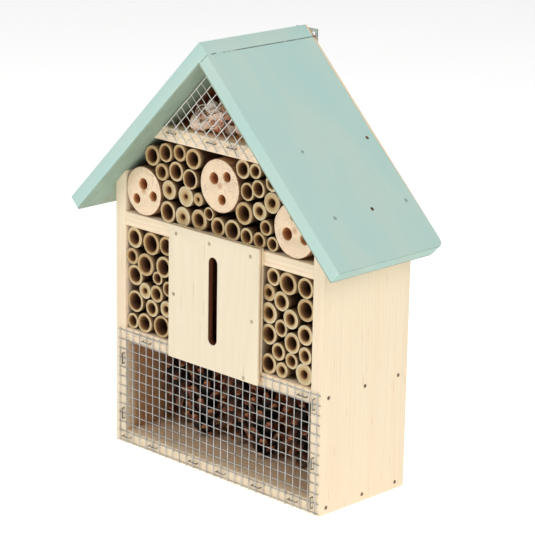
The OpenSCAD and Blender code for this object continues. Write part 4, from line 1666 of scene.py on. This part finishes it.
@dataclass
class Shavings:
    """The heap of plane shavings in the attic: many thin curls of growing radius.

    Args:
        curls: How many curls there are.
        thickness: How thick a shaving is.
        seed: What the heap grows from.
        tufts: The middle and radius of each part of the heap, in mm.
    """

    curls: int = 110
    thickness: float = 0.16 * MM
    seed: int = 21
    tufts: tuple[tuple[float, float, float, float], ...] = (
        (-11.7, -15.65, 229.1, 13.0),
        (-20.8, -17.6, 225.2, 10.4),
        (6.5, -12.4, 223.9, 9.75),
    )

    def build(self) -> None:
        """Builds the heap as one piece."""
        heap = bmesh.new()
        chance = random.Random(self.seed)
        low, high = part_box("wood_shavings")
        made = 0
        while made < self.curls:
            x, y, z, reach = chance.choice(self.tufts)
            aim = Vector((chance.gauss(0, 1), chance.gauss(0, 1), chance.gauss(0, 1))).normalized()
            spot = Vector((x, y, z)) * MM + aim * reach * MM * chance.uniform(0.35, 0.84)
            size = chance.uniform(2.2, 5.2) * MM
            if spot.z < low.z + size * 0.9 or spot.z > high.z - size * 0.5:
                continue
            curl = self.curl(size, chance)
            turn = Euler([chance.uniform(0, FULL_TURN) for _ in range(3)]).to_matrix().to_4x4()
            curl.transform(Matrix.Translation(spot) @ turn)
            if min(v.co.z for v in curl.verts) < low.z:
                curl.transform(Matrix.Translation((0, 0, low.z - min(v.co.z for v in curl.verts))))
            add_to(heap, curl)
            made += 1
        Piece("shavings_heap", "shavings", ("wood_shavings",), [Shaving().material()], crease=70).make(heap)

    def curl(self, size: float, chance: random.Random) -> bmesh.types.BMesh:
        """Builds one curl from half turns of growing radius.

        Args:
            size: Its outer radius.
            chance: The source of the small differences.

        Returns:
            The curl.
        """
        bm = bmesh.new()
        width = chance.uniform(3.0, 9.0) * MM
        turns = chance.choice((2, 3, 4))
        radius = size * 0.5
        drift = chance.uniform(-0.5, 1.2) * MM
        verts = [bm.verts.new((radius, 0, -width / 2)), bm.verts.new((radius * 1.05, 0, width / 2))]
        edge = bm.edges.new(verts)
        geom: list[Any] = [*verts, edge]
        centre = Vector((0, 0, 0))
        for _ in range(turns):
            spun = bmesh.ops.spin(
                bm,
                geom=geom,
                cent=centre,
                axis=UP,
                dvec=(0, 0, drift / 6),
                angle=math.pi * chance.uniform(0.85, 1.0),
                steps=6,
                use_merge=False,
            )
            geom = spun["geom_last"]
            ends = [g for g in geom if isinstance(g, bmesh.types.BMVert)]
            middle = (ends[0].co + ends[1].co) / 2
            inward = (centre - middle).normalized()
            radius *= chance.uniform(1.1, 1.3)
            centre = middle + Vector((inward.x, inward.y, 0)) * radius
        bmesh.ops.recalc_face_normals(bm, faces=bm.faces)
        bmesh.ops.solidify(bm, geom=list(bm.faces), thickness=self.thickness)
        tone = chance.random()
        mark(bm, "tone", lambda v: tone)
        low, high = span(bm.verts)
        bmesh.ops.translate(bm, vec=-(low + high) / 2, verts=bm.verts)
        fit = size / max(high.x - low.x, high.y - low.y, 1e-6) * 2
        bmesh.ops.scale(bm, vec=(fit, fit, 1.0), verts=bm.verts)
        return bm


# ---------------------------------------------------------------- wire and metal


@dataclass
class WireMesh:
    """Welded wire mesh: drawn wires with a slight waver, a zinc lump at each weld and snipped ends.

    Args:
        waver: How far a wire strays from straight.
        lump: How much wider a weld is than its wire.
        sides: How many sides a wire has.
        step: How long each drawn stretch of a wire is.
        seed: What the wires' waver grows from.
    """

    waver: float = 0.09 * MM
    lump: float = 1.35
    sides: int = 8
    step: float = 9 * MM
    seed: int = 5

    def build(self) -> None:
        """Builds both panels of mesh."""
        dull = Metal("galvanised_wire", dye(208, 209, 206), dye(168, 168, 164), 0.36, 0.75).material()
        clean = Metal("bright_wire", dye(240, 238, 232), dye(206, 204, 198), 0.36, 0.35).material()
        for node, zinc in (("lower_mesh", dull), ("attic_mesh", clean)):
            chance = random.Random(self.seed)
            cad = cad_copy(node)
            bm = bmesh.new()
            runs = [self.run(verts) for verts in islands(cad)]
            cad.free()
            for start, end, radius in runs:
                add_to(bm, self.wire(start, end, radius, chance))
            for spot, radius in self.crossings(runs):
                self.weld(bm, spot, radius * self.lump, chance)
            Piece(node + "_wires", "galvanised_wire", (node,), [zinc], crease=60).make(bm)

    @staticmethod
    def run(verts: list[bmesh.types.BMVert]) -> tuple[Vector, Vector, float]:
        """Finds where a wire starts and ends, and how thick it is.

        Args:
            verts: The plain wire's vertices.

        Returns:
            Its two ends and its radius.
        """
        spots = [v.co for v in verts]
        mid = sum(spots, Vector()) / len(spots)
        far = max(spots, key=lambda s: (s - mid).length)
        axis = (far - mid).normalized()
        along = [(s - mid).dot(axis) for s in spots]
        ends = [
            [s for s, a in zip(spots, along) if a > max(along) * 0.6],
            [s for s, a in zip(spots, along) if a < min(along) * 0.6],
        ]
        first, last = (sum(group, Vector()) / len(group) for group in ends)
        axis = (first - last).normalized()
        radius = max(((s - mid) - axis * (s - mid).dot(axis)).length for s in spots)
        return first, last, radius

    def wire(self, start: Vector, end: Vector, radius: float, chance: random.Random) -> bmesh.types.BMesh:
        """Draws one wire out step by step.

        Args:
            start: One end.
            end: The other end.
            radius: Its radius.
            chance: The source of its waver.

        Returns:
            The wire.
        """
        bm = bmesh.new()
        run = end - start
        turn = run.to_track_quat("Z", "Y").to_matrix().to_4x4()
        steps = max(2, round(run.length / self.step))
        bmesh.ops.create_circle(bm, cap_ends=True, radius=radius, segments=self.sides, matrix=turn)
        bmesh.ops.translate(bm, vec=start, verts=bm.verts)
        face = list(bm.faces)
        sway = Vector()
        for step in range(steps):
            new = Vector([chance.uniform(-1, 1) * self.waver for _ in range(3)])
            if step == steps - 1:
                new = Vector()
            made = bmesh.ops.extrude_face_region(bm, geom=face)["geom"]
            verts = [g for g in made if isinstance(g, bmesh.types.BMVert)]
            bmesh.ops.translate(bm, vec=run / steps + new - sway, verts=verts)
            if step:
                bmesh.ops.delete(bm, geom=face, context="FACES_ONLY")
            face = [g for g in made if isinstance(g, bmesh.types.BMFace)]
            sway = new
        bmesh.ops.recalc_face_normals(bm, faces=bm.faces)
        return bm

    @staticmethod
    def crossings(runs: Sequence[tuple[Vector, Vector, float]]) -> list[tuple[Vector, float]]:
        """Finds where the wires cross.

        Args:
            runs: Every wire's ends and radius.

        Returns:
            The middle of each weld and the wires' radius.
        """
        found = []
        first = (runs[0][1] - runs[0][0]).normalized()
        along = [r for r in runs if abs((r[1] - r[0]).normalized().dot(first)) > 0.9]
        over = [r for r in runs if abs((r[1] - r[0]).normalized().dot(first)) <= 0.9]
        for a0, a1, radius in along:
            run = a1 - a0
            for b0, b1, _ in over:
                side = b1 - b0
                gap = b0 - a0
                aa, ab, bb = run.dot(run), run.dot(side), side.dot(side)
                det = aa * bb - ab * ab
                s = (gap.dot(run) * bb - gap.dot(side) * ab) / det
                t = (gap.dot(run) * ab - gap.dot(side) * aa) / det
                if 0 <= s <= 1 and 0 <= t <= 1:
                    found.append(((a0 + run * s + b0 + side * t) / 2, radius))
        return found

    @staticmethod
    def weld(bm: bmesh.types.BMesh, spot: Vector, radius: float, chance: random.Random) -> None:
        """Adds the lump of one weld.

        Args:
            bm: The mesh panel.
            spot: Where the wires cross.
            radius: The lump's radius.
            chance: The source of its size.
        """
        size = radius * chance.uniform(0.85, 1.1)
        place = Matrix.Translation(spot) @ Euler((chance.random(), chance.random(), 0)).to_matrix().to_4x4()
        bmesh.ops.create_icosphere(bm, subdivisions=1, radius=size, matrix=place)


@dataclass
class Hardware:
    """Nails, pins, staples, the hanger plate and its screws.

    Args:
        easing: How far the small edges are rounded.
        painted: The Y in front of which the roof's nail heads are painted over.
        bare_row: The Y behind which the eaves' nail heads are painted over too.
    """

    easing: float = 0.16 * MM
    painted: float = -10 * MM
    bare_row: float = 20 * MM

    def build(self) -> None:
        """Builds every metal fitting apart from the mesh."""
        steel = Metal("nail_steel", dye(150, 118, 92), dye(98, 70, 54), 0.42, 0.7, 0.8).material()
        wire = Metal("staple_steel", dye(172, 170, 164), dye(112, 108, 103), 0.30, 0.85).material()
        plate = Metal("zinc_plate", dye(228, 228, 226), dye(188, 186, 182), 0.20, 1.0, 0.9).material()
        pin = Metal("pin_steel", dye(206, 190, 160), dye(160, 140, 112), 0.40, 0.5, 0.8).material()
        low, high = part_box("roof_nails")
        filled = (self.bare_row, (low.z + high.z) / 2)
        roof = Metal(
            "roof_nail_steel", dye(150, 118, 92), dye(98, 70, 54), 0.42, 0.7, 0.8, self.painted, filled
        ).material()
        for node, finish in (
            ("wall_nails", steel),
            ("roof_nails", roof),
            ("ridge_nails", steel),
            ("front_panel_pins", pin),
            ("back_panel_pins", steel),
        ):
            self.rounded(node, node + "_domed", [finish])
        for node in ("lower_mesh_staples", "attic_mesh_staples"):
            self.rounded(node, node + "_bent", [wire], 0.26 * MM)
        self.rounded("hanger_plate", "hanger_plate_pressed", [plate], 0.22 * MM)
        self.screws(plate)

    def rounded(
        self, node: str, name: str, finishes: Sequence[bpy.types.Material], easing: float | None = None
    ) -> None:
        """Copies a fitting, rounds its edges and dresses it.

        Args:
            node: The CAD node.
            name: The new piece's name.
            finishes: Its materials.
            easing: How far its edges are rounded, if not the usual.
        """
        bm = cad_copy(node)
        ease(bm, arrises(bm, 0.0, 50), easing or self.easing, 2)
        Piece(name, "zinc_steel", (node,), finishes, crease=42).make(bm)

    def screws(self, finish: bpy.types.Material) -> None:
        """Builds the hanger's two cross-head screws in the place of the plain ones.

        Args:
            finish: Their plating.
        """
        cad = cad_copy("hanger_screws")
        both = bmesh.new()
        for verts in islands(cad):
            low, high = span(verts)
            add_to(both, self.screw(low, high))
        cad.free()
        Piece("hanger_screws_cross", "zinc_steel", ("hanger_screws",), [finish], crease=34).make(both)

    @staticmethod
    def screw(low: Vector, high: Vector) -> bmesh.types.BMesh:
        """Builds one screw with a domed head and a cross cut into it.

        Args:
            low: The lowest corner of its room.
            high: The highest corner of its room.

        Returns:
            The screw.
        """
        head = (high.x - low.x) / 2
        shank = head / 2
        tall = 1.6 * MM
        length = high.y - low.y
        profile = [
            (0.0, -length),
            (shank * 0.7, -length + 0.4 * MM),
            (shank, -length + 1.6 * MM),
            (shank, -tall),
            (head, -tall),
            (head, -tall * 0.62),
            (head * 0.86, -tall * 0.24),
            (head * 0.60, -tall * 0.03),
            (head * 0.58, 0.0),
        ]
        bm = lathe(profile, 24, BACKWARD)
        rim = [e for e in bm.edges if e.is_boundary]
        bmesh.ops.contextual_create(bm, geom=rim)
        slot = 0.42 * MM

        def is_top(face: bmesh.types.BMFace) -> bool:
            """Whether a face is part of the head's flat middle."""
            return abs(face.normal.y) > 0.99 and face.calc_center_median().y > -0.01 * MM

        for axis in (ACROSS, UP):
            for side in (-slot, slot):
                flat = [f for f in bm.faces if is_top(f)]
                edges = {e for f in flat for e in f.edges}
                verts = {v for f in flat for v in f.verts}
                geom = [*flat, *edges, *verts]
                bmesh.ops.bisect_plane(bm, geom=geom, plane_co=axis * side, plane_no=axis, dist=1e-7)
        cross = [
            f
            for f in bm.faces
            if is_top(f) and min(abs(f.calc_center_median().x), abs(f.calc_center_median().z)) < slot
        ]
        sunk = bmesh.ops.extrude_face_region(bm, geom=cross)["geom"]
        bmesh.ops.delete(bm, geom=cross, context="FACES_ONLY")
        floor = [g for g in sunk if isinstance(g, bmesh.types.BMVert)]
        bmesh.ops.translate(bm, vec=(0, -0.8 * MM, 0), verts=floor)
        bmesh.ops.recalc_face_normals(bm, faces=bm.faces)
        bm.transform(Matrix.Translation(((low.x + high.x) / 2, high.y, (low.z + high.z) / 2)))
        return bm


# ---------------------------------------------------------------- the studio


@dataclass(frozen=True)
class Lamp:
    """One soft round light.

    Args:
        name: Its name.
        spot: Where it hangs.
        size: How wide it is.
        power: Its power in watts.
    """

    name: str
    spot: tuple[float, float, float]
    size: float
    power: float


@dataclass
class Studio:
    """The pale floor, the soft lights and the camera.

    Args:
        lens: The camera's focal length in mm on a 36 mm sensor.
        camera_at: Where the camera stands.
        camera_turn: How it is turned, in degrees.
        ambient: How brightly the surroundings light the hotel.
        backdrop: How bright the surroundings look behind it.
        aim: The height on the hotel that the lights face.
        lamps: The lights.
    """

    lens: float = 156.42
    camera_at: tuple[float, float, float] = (0.9920, -0.9963, 0.5422)
    camera_turn: tuple[float, float, float] = (73.75, -0.92, 44.75)
    ambient: float = 0.16
    backdrop: float = 1.0
    aim: float = 0.14
    lamps: tuple[Lamp, ...] = (
        Lamp("key_light", (-0.6, -1.9, 1.6), 1.3, 16.8),
        Lamp("fill_light", (1.7, -0.5, 1.3), 1.5, 15.8),
        Lamp("top_light", (0.3, 0.2, 2.1), 1.4, 9.5),
    )

    def build(self) -> None:
        """Builds the floor, the lights and the camera."""
        scene = bpy.context.scene
        scene.view_settings.view_transform = "Standard"
        world = bpy.data.worlds.new("studio")
        world.use_nodes = True
        r = Recipe.for_world(world)
        seen = r.node("ShaderNodeLightPath", output="Is Camera Ray")
        strength = seen * (self.backdrop - self.ambient) + self.ambient
        r.shader.inputs["Color"].default_value = (1.0, 1.0, 1.0, 1.0)
        r.tree.links.new(strength.socket, r.shader.inputs["Strength"])
        scene.world = world
        self.floor()
        for lamp in self.lamps:
            self.light(lamp)
        lens = bpy.data.cameras.new("camera")
        lens.lens = self.lens
        lens.sensor_width = 36.0
        lens.clip_start = 0.05
        camera = bpy.data.objects.new("camera", lens)
        camera.location = self.camera_at
        camera.rotation_euler = Euler([math.radians(a) for a in self.camera_turn])
        scene.collection.objects.link(camera)
        scene.camera = camera
        log.info("studio: %d lights", len(self.lamps))

    @staticmethod
    def floor() -> None:
        """Lays the floor under the hotel."""
        bm = bmesh.new()
        bmesh.ops.create_grid(bm, x_segments=4, y_segments=4, size=8.0)
        mesh = bpy.data.meshes.new("floor")
        bm.to_mesh(mesh)
        bm.free()
        mesh.materials.append(Backdrop().material())
        sheet = bpy.data.objects.new("floor", mesh)
        bpy.context.scene.collection.objects.link(sheet)

    def light(self, lamp: Lamp) -> None:
        """Hangs one soft light that faces the hotel.

        Args:
            lamp: The light.
        """
        data = bpy.data.lights.new(lamp.name, "AREA")
        data.shape = "DISK"
        data.size = lamp.size
        data.energy = lamp.power
        made = bpy.data.objects.new(lamp.name, data)
        made.location = lamp.spot
        away = Vector(lamp.spot) - UP * self.aim
        made.rotation_euler = away.to_track_quat("Z", "Y").to_euler()
        bpy.context.scene.collection.objects.link(made)


def main() -> None:
    """Builds the hotel piece by piece, then its studio."""
    logging.basicConfig(level=logging.INFO, format="%(name)s %(message)s")
    assemblies = (
        Case(), Roof(), CaneFill(), Logs(), PineCones(), Shavings(), WireMesh(), Hardware(), Studio(),
    )
    for assembly in assemblies:
        log.info("building %s", type(assembly).__name__)
        assembly.build()


if __name__ == "__main__":
    main()
